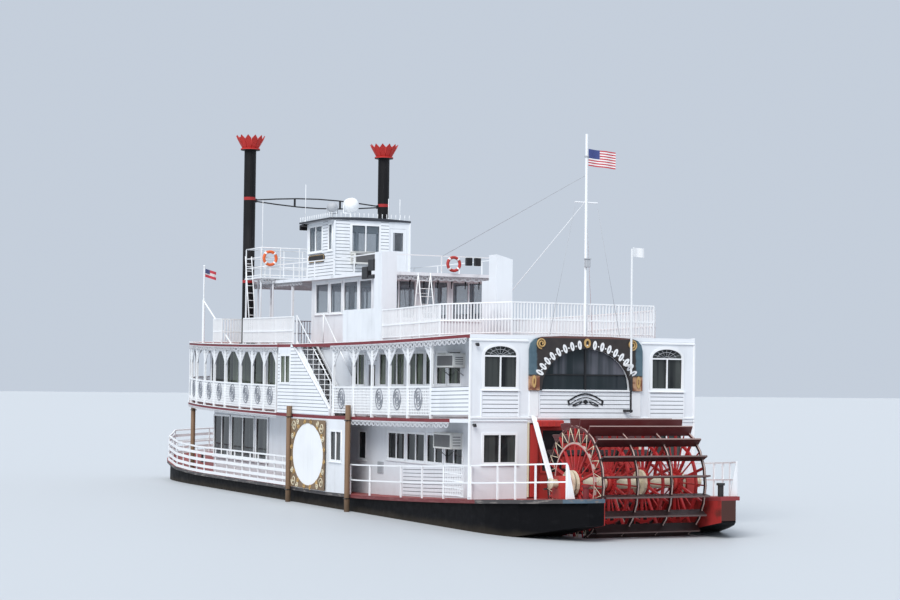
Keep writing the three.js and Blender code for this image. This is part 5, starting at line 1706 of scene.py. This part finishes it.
def wall_lamp(x, y, z):
    """A round glass on a bracket that leans away from the stern."""
    return join(
        drum((x - 0.05, y, z), 0.035, 0.1, "X", 12, 0.006),
        drum((x - 0.12, y, z - 0.03), 0.055, 0.08, "Z", 16, 0.015),
        drum((x - 0.12, y, z + 0.02), 0.04, 0.03, "Z", 16, 0.006),
    )


lamps = [wall_lamp(0, 4.02, 4.3), wall_lamp(0, 3.95, 6.84)]
finish_piece(lamps, "stern_lamps", black_paint, smooth=35)
print("pieces", piece_count)

# %% [markdown]
# ## The paddle wheel
# The solids have the boards, four spiders with every second spoke, the rims and the shaft. Slim bars stand
# in the places between those spokes, and pale cross bars tie the inner ring to the rim on the port side. All
# of it turns with the wheel, so these pieces ride on its body.

# %% Spokes between the spokes
SPIDERS_Y = sorted(hand * y for hand in (1, -1) for y in SPIDER_Y)
FIRST_SPOKE, BOARD_STEP = math.radians(0.7), math.radians(18)


def on_wheel(angle, y):
    """Turns a bar drawn upright over the hub to its angle, from the top towards astern, and sets its y."""
    hub = shift(WHEEL_HUB[0], y, WHEEL_HUB[2])
    return hub @ Matrix.Rotation(-angle, 4, "Y")


slim_spokes = []
for y in SPIDERS_Y:
    slim = block((-0.022, 0.022), (-0.016, 0.016), (0.40, 1.71), 0.004)
    odd_turns = [FIRST_SPOKE + BOARD_STEP * (2 * k + 1) for k in range(10)]
    slim_spokes.append(repeated(slim, [on_wheel(angle, y) for angle in odd_turns]))
finish_piece(slim_spokes, "wheel_slim_spokes", spider_red, body="paddle_wheel")

cross_bars = []
for hand in (1, -1):
    leaning = rod([(hand * 0.19, 0.0, 1.25), (0.0, 0.0, 1.70)], 0.013)
    turns = [FIRST_SPOKE + BOARD_STEP * (k + 0.5) for k in range(20)]
    cross_bars.append(repeated(leaning, [on_wheel(angle, 1.843) for angle in turns]))
finish_piece(cross_bars, "wheel_cross_bars", cream_paint, body="paddle_wheel")
print("pieces", piece_count)

# %% [markdown]
# Each spider is bolted to a cast hub with a raised boss. One bolt head is a six-sided drum.

# %% Hubs and bolts
BOLT_CIRCLE = 0.34
hubs = []
for y in SPIDERS_Y:
    for hand in (1, -1):
        boss = drum((WHEEL_HUB[0], y + hand * 0.085, WHEEL_HUB[2]), 0.27, 0.10, "Y", 20, 0.03)
        hubs.append(boss)
        for k in range(10):
            angle = BOARD_STEP * (2 * k + 1)
            aft, rise = BOLT_CIRCLE * math.sin(angle), BOLT_CIRCLE * math.cos(angle)
            spot = (WHEEL_HUB[0] - aft, y + hand * 0.045, WHEEL_HUB[2] + rise)
            hubs.append(drum(spot, 0.024, 0.03, "Y", 6, 0.003))
finish_piece(hubs, "wheel_hubs", red_paint, body="paddle_wheel")
print("pieces", piece_count)

# %% [markdown]
# The shaft runs through the bearings on the horns, in pale sleeves between the spiders, with a collar at
# the middle. Its port end carries a flange, pale with a red middle.

# %% Sleeves, flange and caps
sleeves = []
for y0, y1 in ((-1.64, -0.75), (-0.45, 0.45), (0.75, 1.64)):
    sleeves.append(drum((WHEEL_HUB[0], (y0 + y1) / 2, WHEEL_HUB[2]), 0.185, y1 - y0, "Y", 24, 0.02))
finish_piece(sleeves, "shaft_sleeves", cream_paint, body="paddle_wheel", smooth=40)
flange = drum((WHEEL_HUB[0], 2.02, WHEEL_HUB[2]), 0.41, 0.05, "Y", 28, 0.012)
finish_piece(flange, "wheel_flange", flange_paint, body="paddle_wheel", smooth=40)
cap_parts = []
for hand in (1, -1):
    cap_parts.append(drum((WHEEL_HUB[0], hand * 2.655, WHEEL_HUB[2]), 0.17, 0.05, "Y", 20, 0.012))
finish_piece(cap_parts, "shaft_caps", cream_paint, body="paddle_wheel", smooth=40)
print("pieces", piece_count)

# %% [markdown]
# ## The oval boards
# Each side carries a large oval board in a frame of painted scrolls. The board itself is left bare. Its
# frame is a sawn plate that fills the corners, and the scrolls are bent rods laid on it.

# %% Oval board and its scrolls
BOARD_MIDDLE = (13.55, 2.84)


def board_oval(half_length, half_height):
    return ring_points(BOARD_MIDDLE, (half_length, half_height), 96)


scroll_brown = weathered("scroll_brown", (0.20, 0.13, 0.07), (0.07, 0.05, 0.04), rough=0.5, streak=0.5)
bare_board = along_side(fret([board_oval(1.56, 1.18)], 0.02), BEAM_HALF + 0.058)
both_sides(fixed_faces(bare_board), "oval_board", trim_white)
surround_edge = rectangle(11.86, 15.28, 1.56, 4.14)
surround = along_side(fret([surround_edge, board_oval(1.54, 1.16)], 0.03), BEAM_HALF + 0.066)
both_sides(fixed_faces(surround), "oval_surround", scroll_brown)


def curl(away_x, away_z, reach, first, turn, shrink, steps, proud, radius):
    """One scroll rod on the surround, wound about a point that far from the board's middle."""
    middle = (BOARD_MIDDLE[0] + away_x, BOARD_MIDDLE[1] + away_z)
    winding = spiral(middle, (reach, reach), first, turn, shrink, steps)
    return rod([(x, BEAM_HALF + proud, z) for x, z in winding], radius)


curls = []
for k in range(16):
    angle, hand = math.radians(11.25 + 22.5 * k), 1 if k % 2 else -1
    away_x, away_z = 1.67 * math.cos(angle), 1.23 * math.sin(angle)
    curls.append(curl(away_x, away_z, 0.11, angle, hand * 2.6 * math.pi, 0.8, 14, 0.088, 0.016))
both_sides(curls, "oval_curls", gold_paint)
corner_curls = []
for side_x in (1, -1):
    for side_z in (1, -1):
        turn = side_x * side_z * 3 * math.pi
        for away_x, away_z, reach in ((1.40, 1.02, 0.22), (1.54, 0.62, 0.13), (1.02, 1.17, 0.12)):
            away_x, away_z = side_x * away_x, side_z * away_z
            corner_curls.append(curl(away_x, away_z, reach, 0, turn, 0.85, 20, 0.09, 0.022))
both_sides(corner_curls, "corner_curls", cream_paint)
print("pieces", piece_count)

# %% [markdown]
# ## Handrails of the port stair
# A rail runs on either side of the stair, with thin uprights down to the slope of the stair.

# %% Stair handrails
STAIR_FOOT_X, STAIR_SLOPE = 11.7, 0.722


def stair_line(x):
    """Height of the stair's own line at a length."""
    return 4.50 + (x - STAIR_FOOT_X) * STAIR_SLOPE


def stair_rail(y, x0, x1, above):
    parts = [bar([(x, y, stair_line(x) + above) for x in (x0, x1)], 0.024)]
    count = round((x1 - x0) / 0.58)
    for i in range(count + 1):
        x = x0 + (x1 - x0) * i / count
        half = 0.024 if i in (0, count) else 0.010
        parts.append(upright(x, y, half, stair_line(x) - 0.12, stair_line(x) + above))
    return join(*parts)


INNER_Y = 3.28
LOW_X, HIGH_X = 11.26, 14.52
low_end, high_end = (LOW_X, INNER_Y, 5.44), (HIGH_X, INNER_Y, 8.16)
low_foot, high_foot = (LOW_X, INNER_Y, level("second", LOW_X)), (HIGH_X, INNER_Y, level("third", 14.5))
inner_rail = [bar(ends, 0.026) for ends in ((high_end, low_end), (low_end, low_foot), (high_end, high_foot))]
finish_piece([stair_rail(THIRD_RAIL_Y, 11.74, 15.26, 1.02), *inner_rail], "stair_rails", trim_white)
stair_sides = []
for y in (3.315, 4.052):
    plate = block((STAIR_FOOT_X, 15.28), around(y, 0.012), (4.24, 4.56), 0)
    stair_sides.append(placed(plate, rising(STAIR_SLOPE, STAIR_FOOT_X, 0)))
finish_piece(stair_sides, "stair_stringers", trim_white)
nosings = []
STEP_RUN, STEP_RISE = 0.2585, 0.1898
step_foot = level("second", 12.1) + 0.005
for i in range(13):
    x, z = 11.9 + i * STEP_RUN, step_foot + (i + 1) * STEP_RISE
    nosings.append(block((x - 0.014, x + 0.03), (3.36, 4.02), (z - 0.03, z + 0.006), 0.002))
finish_piece(nosings, "stair_nosings", trim_white)
print("pieces", piece_count)

# %% [markdown]
# ## Fender timbers
# Round timbers hang along the port side and keep the hull off a quay. Iron straps hold each one to the
# deck edges. The starboard side has its own set.

# %% Fenders and straps
timbers, straps = [], []
for x, y, low, high in ((9.57, 4.28, 0.80, 4.75), (15.42, 4.28, 0.90, 4.62), (29.05, 3.62, 0.82, 4.30)):
    timbers.append(drum((x, y, (low + high) / 2), 0.10, high - low, "Z", 14, 0.02))
    for z in (1.42, 4.20):
        straps.append(block(around(x, 0.108), (y - 0.13, y + 0.104), around(z, 0.016), 0.004))
both_sides(timbers, "fenders", fender_timber, smooth=40)
both_sides(straps, "fender_straps", black_paint)
print("pieces", piece_count)

# %% [markdown]
# ## Bridge behind the stacks
# A narrow platform crosses the roof just aft of the stacks, so that the pilot can lean out over either
# side. It has bearers beneath and posts under its wings.

# %% Platform and posts
BRIDGE_X, BRIDGE_Y, BRIDGE_Z = (21.2, 23.1), 3.42, 9.84
bridge_parts = [block(BRIDGE_X, (-BRIDGE_Y, BRIDGE_Y), (BRIDGE_Z - 0.06, BRIDGE_Z))]
for y in (-2.4, 0, 2.4):
    bridge_parts.append(block((BRIDGE_X[0] + 0.05, BRIDGE_X[1] - 0.05), around(y, 0.05), (9.70, 9.785)))
for x in (BRIDGE_X[0] + 0.05, BRIDGE_X[1] - 0.08):
    foot_z = level("third", x) - 0.01
    for y in (-3.37, -2.84, 2.84, 3.37):
        bridge_parts.append(upright(x, y, 0.03, foot_z, BRIDGE_Z - 0.05, 0.005))
finish_piece(bridge_parts, "bridge_platform", white_paint)
print("pieces", piece_count)

# %% [markdown]
# Its rail has bars at four heights, with uprights between them fore and aft, and scallops hang from its
# aft edge.

# %% Rail and lace of the bridge
BRIDGE_BARS = (1.22, 0.82, 0.42, 0.08)
RAIL_END = BRIDGE_Y - 0.04
aft_x, fore_x = BRIDGE_X[0] + 0.04, BRIDGE_X[1] - 0.04
rail_parts = []
for height in BRIDGE_BARS:
    corners = [(aft_x, -RAIL_END), (aft_x, RAIL_END), (fore_x, RAIL_END), (fore_x, -RAIL_END)]
    rail_parts.append(rod([(x, y, BRIDGE_Z + height) for x, y in corners], 0.02, closed=True))
for x in (aft_x, fore_x):
    for i in range(9):
        y = RAIL_END * (i / 4 - 1)
        rail_parts.append(upright(x, y, 0.018, BRIDGE_Z - 0.01, BRIDGE_Z + BRIDGE_BARS[0]))
finish_piece(rail_parts, "bridge_rail", trim_white)
steps_across = [shift(SCALLOP * i - BRIDGE_Y, 0, 0) for i in range(19)]
valance = across(repeated(scallop(0.22), steps_across), aft_x - 0.035)
valance = placed(valance, shift(0, 0, BRIDGE_Z - 0.05))
finish_piece(fixed_faces(valance), "bridge_lace", grey_paint)
print("pieces", piece_count)

# %% [markdown]
# A steep ladder leads from the third deck's edge to either wing of the bridge, and an A-shaped one stands
# under the aft edge of the roof.

# %% Ladders
def ladder(foot, top, width, rungs):
    """Two poles and rungs, leaning in the XZ plane, their width along Y."""
    parts = []
    for y in around(foot[1], width / 2):
        parts.append(bar([(foot[0], y, foot[2]), (top[0], y, top[2])], 0.022))
    for i in range(1, rungs + 1):
        share = i / (rungs + 1)
        x, z = foot[0] + (top[0] - foot[0]) * share, foot[2] + (top[2] - foot[2]) * share
        parts.append(rod([(x, y, z) for y in around(foot[1], width / 2)], 0.012))
    return join(*parts)


def on_third(x, y):
    """A point just inside the third deck, so that a foot stands in it."""
    return (x, y, level("third", x) - 0.01)


wing_ladder = ladder(on_third(21.4, 3.59), (22.2, 3.59, 10.72), 0.27, 11)
hooks = [rod([(22.1, y, 10.3), (22.1, 3.40, 10.3)], 0.014) for y in (3.46, 3.72)]
both_sides([wing_ladder, *hooks], "bridge_ladder", trim_white)
roof_z = level("roof", 10.9)
aft_ladder = ladder(on_third(10.2, 0.75), (10.86, 0.75, roof_z - 0.02), 0.5, 8)
aft_legs = ladder(on_third(11.4, 0.75), (10.88, 0.75, roof_z - 0.14), 0.5, 3)
finish_piece([aft_ladder, aft_legs], "roof_ladder", trim_white)
print("pieces", piece_count)

# %% [markdown]
# Lace hangs from the aft edge of the roof deck too, with dark brackets ahead of it, and from its sides
# beside the bridge. The grey of this lace and the black of the brackets are painted shade under the roof.

# %% Roof lace and its brackets
ROOF_EDGE_X = 10.93
steps_across = [shift(SCALLOP * i - 2.7, 0, 0) for i in range(15)]
roof_lace = across(repeated(scallop(0.19), steps_across), ROOF_EDGE_X)
roof_lace = placed(roof_lace, shift(0, 0, roof_z - SLAB + 0.01))
# Grey lace: painted shade under the roof's edge.
finish_piece(fixed_faces(roof_lace), "roof_lace", grey_paint)
roof_line = line_along(18.3, 24.6, 2.70, SCALLOP)
both_sides(fringe(roof_line, "roof", 0.16), "roof_side_lace", grey_paint)
cast = []
for i in range(9):
    y = -2.3 + 0.575 * i
    turns = [math.radians(a) for a in (0, 25, 50, 75, 90)]
    curve = [(10.98 + 0.30 * math.sin(turn), y, 9.53 - 0.42 * (1 - math.cos(turn))) for turn in turns]
    cast.append(rod(curve, 0.02))
    cast.append(rod([(11.28, y, 9.11), (11.28, y, 9.53)], 0.018))
# Black brackets: painted shade under the roof.
finish_piece(cast, "roof_brackets", black_paint)
print("pieces", piece_count)

# %% [markdown]
# ## Gear on the walls and rails
# Three room coolers hang on the walls: one on the main deck, one on the gallery and one at the
# pilothouse. Each is a pale case with a dark grille of slats, a hood and two brackets beneath.

# %% Room coolers
COOLER_DEPTH = 0.42


def cooler(width, height):
    """A cooler that faces astern, its back at the origin, X towards the wall and Y across."""
    half, depth = width / 2, COOLER_DEPTH
    case = block((-depth, 0.02), (-half, half), (0, height), 0.015)
    loops = [rectangle(edge - half, half - edge, edge, height - edge) for edge in (0.015, 0.06)]
    case = join(case, across(fret(loops, 0.02), -depth - 0.008))
    lid = block((-depth - 0.05, 0.02), (-half - 0.02, half + 0.02), (height, height + 0.018), 0.004)
    inner = around(0, half - 0.055)
    slats = [block(around(-depth, 0.004), inner, (0.055, height - 0.055), 0)]
    count = round((height - 0.12) / 0.035)
    for i in range(count):
        z = 0.07 + (height - 0.14) * i / (count - 1)
        slats.append(block((-depth - 0.016, -depth), inner, around(z, 0.005), 0))
    for i in range(4):
        z = 0.12 + (height - 0.24) * i / 3
        for side in (1, -1):
            vent = sorted((side * (half - 0.004), side * (half + 0.004)))
            slats.append(block((-depth + 0.06, -0.08), vent, around(z, 0.014), 0))
    for y in (-half + 0.12, half - 0.12):
        for foot_z in (-0.26, 0.0):
            slats.append(rod([(-depth + 0.06, y, 0.0), (0.0, y, foot_z)], 0.012))
    return join(case, lid), join(*slats)


def hang_cooler(name, matrix, width, height):
    case, slats = cooler(width, height)
    finish_piece(placed(case, matrix), name + "_case", cream_white)
    finish_piece(placed(slats, matrix), name + "_grille", grille_grey)


grille_grey = weathered("grille_grey", (0.16, 0.16, 0.165), (0.09, 0.09, 0.09), rough=0.6, streak=0.3)
cream_white = weathered("cream_white", (0.70, 0.71, 0.69), (0.48, 0.46, 0.40), rough=0.5, streak=0.3)
TO_PORT = Matrix.Rotation(-math.pi / 2, 4, "Z")
hang_cooler("cooler_main", shift(3.1, CABIN_Y, 3.43) @ TO_PORT, 1.35, 0.52)
hang_cooler("cooler_gallery", shift(2.95, CABIN_Y, 6.10) @ TO_PORT, 1.3, 0.45)
hang_cooler("cooler_pilot", shift(PILOT_AFT, 0.48, 10.28), 0.95, 0.48)
print("pieces", piece_count)

# %% [markdown]
# Life rings hang on the rails: a big orange one at the bridge and a red one at the aft edge of the roof.
# Each is a thick ring with four pale bands. Black speakers are fixed near them, and more hang on the port
# side of the third deck.

# %% Life rings and speakers
def life_ring(x, y, z, radius, thick, name, finish):
    circle = [(x, u, v) for u, v in ring_points((y, z), (radius, radius), 32)]
    ring = bar(circle, thick, closed=True, round_steps=3)
    finish_piece(ring, name, finish, smooth=60, slotted=False)
    bands = []
    for k in range(4):
        arc = spiral((y, z), (radius, radius), math.pi / 4 + k * math.pi / 2 - 0.135, 0.27, 0, 3)
        bands.append(bar([(x, u, v) for u, v in arc], thick + 0.006, round_steps=3))
    finish_piece(bands, name + "_bands", trim_white)


ring_orange = weathered("ring_orange", (0.72, 0.13, 0.03), (0.45, 0.12, 0.05), rough=0.6, streak=0.3)
life_ring(BRIDGE_X[0] - 0.045, 3.02, 10.62, 0.27, 0.062, "life_ring_bridge", ring_orange)
life_ring(ROOF_EDGE_X - 0.09, -0.45, 10.02, 0.25, 0.058, "life_ring_roof", red_paint)
speakers = []
for y in (-1.08, -1.44):
    speakers.append(block((ROOF_EDGE_X - 0.17, ROOF_EDGE_X), around(y, 0.12), (9.98, 10.28), 0.02))
for x, z in ((8.0, 9.70), (8.55, 9.46)):
    speakers.append(block(around(x, 0.25), (3.98, 4.16), around(z, 0.20), 0.02))
speakers.append(block((7.80, 8.85), (4.03, 4.13), (9.22, 9.34), 0.004))
finish_piece(speakers, "speakers", black_paint)
print("pieces", piece_count)

# %% [markdown]
# ## Pilothouse gear
# A dark visor shades the forward windows. A bare board with rounded ends and a gold line is fixed to the
# port wall.

# %% Visor and board
visor = block((20.40, 20.86), (-1.6, 1.86), (PILOT_TOP - 0.10, PILOT_TOP - 0.02), 0.01)
drop_edge = block((20.78, 20.86), (-1.6, 1.86), (PILOT_TOP - 0.24, PILOT_TOP - 0.06), 0.01)
finish_piece([visor, drop_edge], "pilot_visor", black_paint)

NAME_BOARD = (18.45, 20.2, 10.40, 10.72)


def rounded_board(x0, x1, low, high):
    radius, points = (high - low) / 2, []
    for middle, first in ((x1 - radius, -90), (x0 + radius, 90)):
        for i in range(9):
            angle = math.radians(first + 180 * i / 8)
            points.append((middle + radius * math.cos(angle), low + radius + radius * math.sin(angle)))
    return points


plate = along_side(fret([rounded_board(*NAME_BOARD)], 0.03), 1.69)
finish_piece(fixed_faces(plate), "name_board", tread_black)
inner = rounded_board(NAME_BOARD[0] + 0.03, NAME_BOARD[1] - 0.03, NAME_BOARD[2] + 0.03, NAME_BOARD[3] - 0.03)
line = rod([(x, 1.707, z) for x, z in inner], 0.010, closed=True)
finish_piece(line, "name_board_line", gold_paint)
print("pieces", piece_count)

# %% [markdown]
# Two searchlights stand on the roof, each a drum with a domed back, and thin aerials rise at its corners.
# The cresting is a row of short spikes on the roof's edge.

# %% Searchlights, aerials and cresting
ROOF_TOP = PILOT_TOP + 0.12


def searchlight(x, y, radius, height):
    """A short drum facing forward on a yoke and a post, with a domed back."""
    z = ROOF_TOP + height
    barrel = drum((x, y, z), radius, radius * 1.3, "X", 20, 0.03)
    back = (x - radius * 0.45, y, z)
    bpy.ops.mesh.primitive_uv_sphere_add(segments=20, ring_count=10, radius=radius * 0.96, location=back)
    dome = bpy.context.object
    bpy.ops.object.transform_apply()
    arm_ends, low_z = around(y, radius + 0.03), z - radius - 0.05
    yoke = [rod([(x, arm, z), (x, arm, low_z)], 0.02) for arm in arm_ends]
    yoke.append(rod([(x, arm, low_z) for arm in arm_ends], 0.02))
    foot, top = ROOF_TOP - 0.06, low_z + 0.01
    post = drum((x, y, (foot + top) / 2), 0.045, top - foot, "Z", 12, 0)
    return join(barrel, dome, post, *yoke)


finish_piece(searchlight(19.0, 1.16, 0.20, 0.50), "searchlight_port", grey_paint, smooth=40)
finish_piece(searchlight(18.9, 0.38, 0.29, 0.62), "searchlight_middle", trim_white, smooth=40)
SPIKE_FOOT = PILOT_TOP + 0.06
whips = []
for x, y, top in ((20.6, 1.7, 13.7), (17.6, -0.73, 13.0), (17.6, -1.24, 13.0), (23.2, 2.62, 13.2)):
    foot = ROOF_TOP - 0.1 if x < 22 else 9.75
    whips.append(rod([(x, y, foot), (x, y, top)], 0.014))
    whips.append(drum((x, y, foot + 0.07), 0.03, 0.14, "Z", 8, 0))
spikes = [(PILOT_AFT + 0.2 * i, 1.88, 0.27) for i in range(17)]
spikes += [(17.46, 0.2 * i - 1.6, 0.30) for i in range(18)]
crest = [rod([(x, y, SPIKE_FOOT), (x, y, PILOT_TOP + top)], 0.012) for x, y, top in spikes]
finish_piece(whips + crest, "aerials_and_cresting", trim_white)
print("pieces", piece_count)

# %% [markdown]
# ## Poles and stays
# A second staff stands on the gallery deck at the forward port corner, braced back to the third deck. Wire
# stays steady the mast, and a lamp box and a small shelf are clamped to it.

# %% Forward staff, stays and mast gear
FORE_X, FORE_Y, BRACE_X = 27.0, 3.9, 23.3
brace_z = level("third", BRACE_X)
staff = [
    bar([(FORE_X, FORE_Y, level("third", FORE_X) - 0.02), (FORE_X, FORE_Y, 9.05)], 0.062, round_steps=2),
    bar([(FORE_X, FORE_Y, 9.0), (FORE_X, FORE_Y, 10.5)], 0.034, round_steps=2),
    bar([(FORE_X - 0.04, FORE_Y, 8.98), (BRACE_X, FORE_Y, brace_z + 0.02)], 0.032),
    block(around(BRACE_X, 0.1), around(FORE_Y, 0.08), (brace_z - 0.01, brace_z + 0.05), 0.01),
    drum((FORE_X, FORE_Y, 10.53), 0.05, 0.07, "Z", 12, 0.02),
]
finish_piece(staff, "forward_staff", trim_white, smooth=40)
MAST_X = 0.05
stays = []
for side in (1, -1):
    stay_foot = (MAST_X, side * 1.3, level("third", 0) + 0.02)
    stays.append(rod([(MAST_X, side * 0.42, 11.35), stay_foot], 0.007))
stays.append(rod([(MAST_X, 0, 12.4), (10.9, 0, 10.3)], 0.008))
finish_piece(stays, "mast_stays", grey_paint)
lamp_box = [
    block((MAST_X - 0.19, MAST_X - 0.045), (-0.08, 0.08), (9.39, 9.65), 0.012),
    block((MAST_X - 0.21, MAST_X - 0.03), (-0.10, 0.10), (9.65, 9.68), 0.004),
    drum((MAST_X, 0, 13.0), 0.075, 0.05, "Z", 12, 0.01),
]
finish_piece(lamp_box, "mast_lamp", grey_paint)
print("pieces", piece_count)

# %% [markdown]
# The main deck has small fittings along the cabin wall: a louvred vent, and a lattice gate by the stern.

# %% Vent and gate
vent_x, vent_z = (8.8, 9.3), (2.33, 2.75)
vent = [block(vent_x, (CABIN_Y - 0.01, CABIN_Y + 0.03), vent_z, 0.006)]
for i in range(7):
    z = vent_z[0] + 0.05 + 0.053 * i
    slat_x, slat_y = (vent_x[0] + 0.04, vent_x[1] - 0.04), (CABIN_Y + 0.02, CABIN_Y + 0.05)
    vent.append(block(slat_x, slat_y, (z, z + 0.02), 0.003))
finish_piece(vent, "louvre_vent", grey_paint)
gate = []
for i in range(12):
    x = 0.52 + 1.40 * i / 11
    gate.append(block(around(x, 0.012), (4.09, 4.11), (2.02, 2.94), 0))
for z in (2.02, 2.25, 2.48, 2.71, 2.94):
    gate.append(block((0.50, 1.94), (4.085, 4.105), around(z, 0.016), 0))
both_sides(gate, "stern_gate", trim_white)
print("pieces", piece_count)

# %% [markdown]
# ## Flags
# Three flags fly in a light breeze: the ensign at the mast, a white pennant at the stern staff
# and a small dark flag forward. Each is one sheet of light cloth, cut flat and then waved, held along its
# hoist. The fly's length is kept along the wave, so the cloth isn't stretched. The ensign has generic
# stripes and a plain canton.

# %% A waving sheet
def waving(hoist, cut, wave, waves, bearing, droop, columns=36, rows=14):
    """Cloth cut to (width, length), its hoist edge running down from a point, its fly at a bearing."""
    width, length = cut
    bpy.ops.object.select_all(action="DESELECT")
    bpy.ops.mesh.primitive_grid_add(x_subdivisions=columns, y_subdivisions=rows, size=1)
    cloth = bpy.context.object
    path, away, side = [(0.0, 0.0)], 0.0, 0.0
    step = length / columns
    for i in range(columns):
        slope = math.radians(wave) * math.sin(2 * math.pi * waves * (i + 0.5) / columns)
        away += step * math.cos(slope)
        side += step * math.sin(slope)
        path.append((away, side))
    for vertex in cloth.data.vertices:
        i = round((vertex.co.x + 0.5) * columns)
        down = 0.5 - vertex.co.y
        reach, sway = path[i]
        flat_x = reach * math.cos(droop)
        z = hoist[2] - width * down - reach * math.sin(droop)
        x = hoist[0] + flat_x * math.cos(bearing) - sway * math.sin(bearing)
        y = hoist[1] + flat_x * math.sin(bearing) + sway * math.cos(bearing)
        vertex.co = (x, y, z)
    pick(cloth)
    thick = cloth.modifiers.new("cloth", "SOLIDIFY")
    thick.thickness, thick.offset = 0.003, 0
    bpy.ops.object.modifier_apply(modifier="cloth")
    return fixed_faces(cloth)


def flag_finish(name, stripes, canton, field=None):
    """Stripes across the hoist and a plain canton by the hoist, both read from the cloth's own UV map."""
    finish = Finish(name, 0.8)
    uv = finish.tree.nodes.new("ShaderNodeUVMap")
    u, v = finish.node("ShaderNodeSeparateXYZ", {}, {0: Value(finish, uv.outputs[0])}, outputs=(0, 1))
    band = (v * stripes).sum("FLOOR", v * stripes)
    odd = band.sum("MODULO", band, 2.0).above(0.5)
    colour = finish.mix(odd, (0.50, 0.03, 0.05), field or (0.80, 0.80, 0.80))
    in_canton = u.below(0.42) * v.above(0.46)
    colour = finish.mix(in_canton, colour, canton)
    weave = finish.noise(160, 2)
    finish.colour(finish.mix(weave * 0.12, colour, (0.25, 0.25, 0.27)))
    finish.bump(weave, 0.1, 0.001)
    return finish


ENSIGN_CUT, PENNANT_CUT, SMALL_CUT = (0.55, 0.95), (0.30, 0.50), (0.36, 0.52)
ensign_paint = flag_finish("ensign_cloth", 13, (0.03, 0.05, 0.20))
small_paint = flag_finish("forward_cloth", 3, (0.05, 0.06, 0.16), (0.62, 0.60, 0.60))
pennant_paint = weathered("pennant_cloth", (0.86, 0.87, 0.88), (0.66, 0.67, 0.70), rough=0.8, streak=0.2)
ensign_bearing = math.radians(180 + 72)
hoist_x = MAST_X + 0.062 * math.cos(ensign_bearing)
hoist_y = 0.062 * math.sin(ensign_bearing)
cloth = waving((hoist_x, hoist_y, 13.25), ENSIGN_CUT, 22, 1.6, ensign_bearing, 0.10)
finish_piece(cloth, "ensign_waving", ensign_paint, smooth=60, replaces=["ensign"])
STAFF_X, STAFF_Y = -0.42, -1.46
cloth = waving((STAFF_X, STAFF_Y - 0.036, 10.08), PENNANT_CUT, 16, 1.2, math.radians(-80), 0.05)
finish_piece(cloth, "stern_pennant", pennant_paint, smooth=60)
cloth = waving((FORE_X - 0.03, FORE_Y - 0.035, 10.42), SMALL_CUT, 26, 1.3, math.radians(-115), 0.3)
finish_piece(cloth, "forward_flag", small_paint, smooth=60)
print("pieces", piece_count)

# %% [markdown]
# ## Finish
# The last line prints how many pieces were made here.

# %% Count of the pieces
print("pieces made here", piece_count)
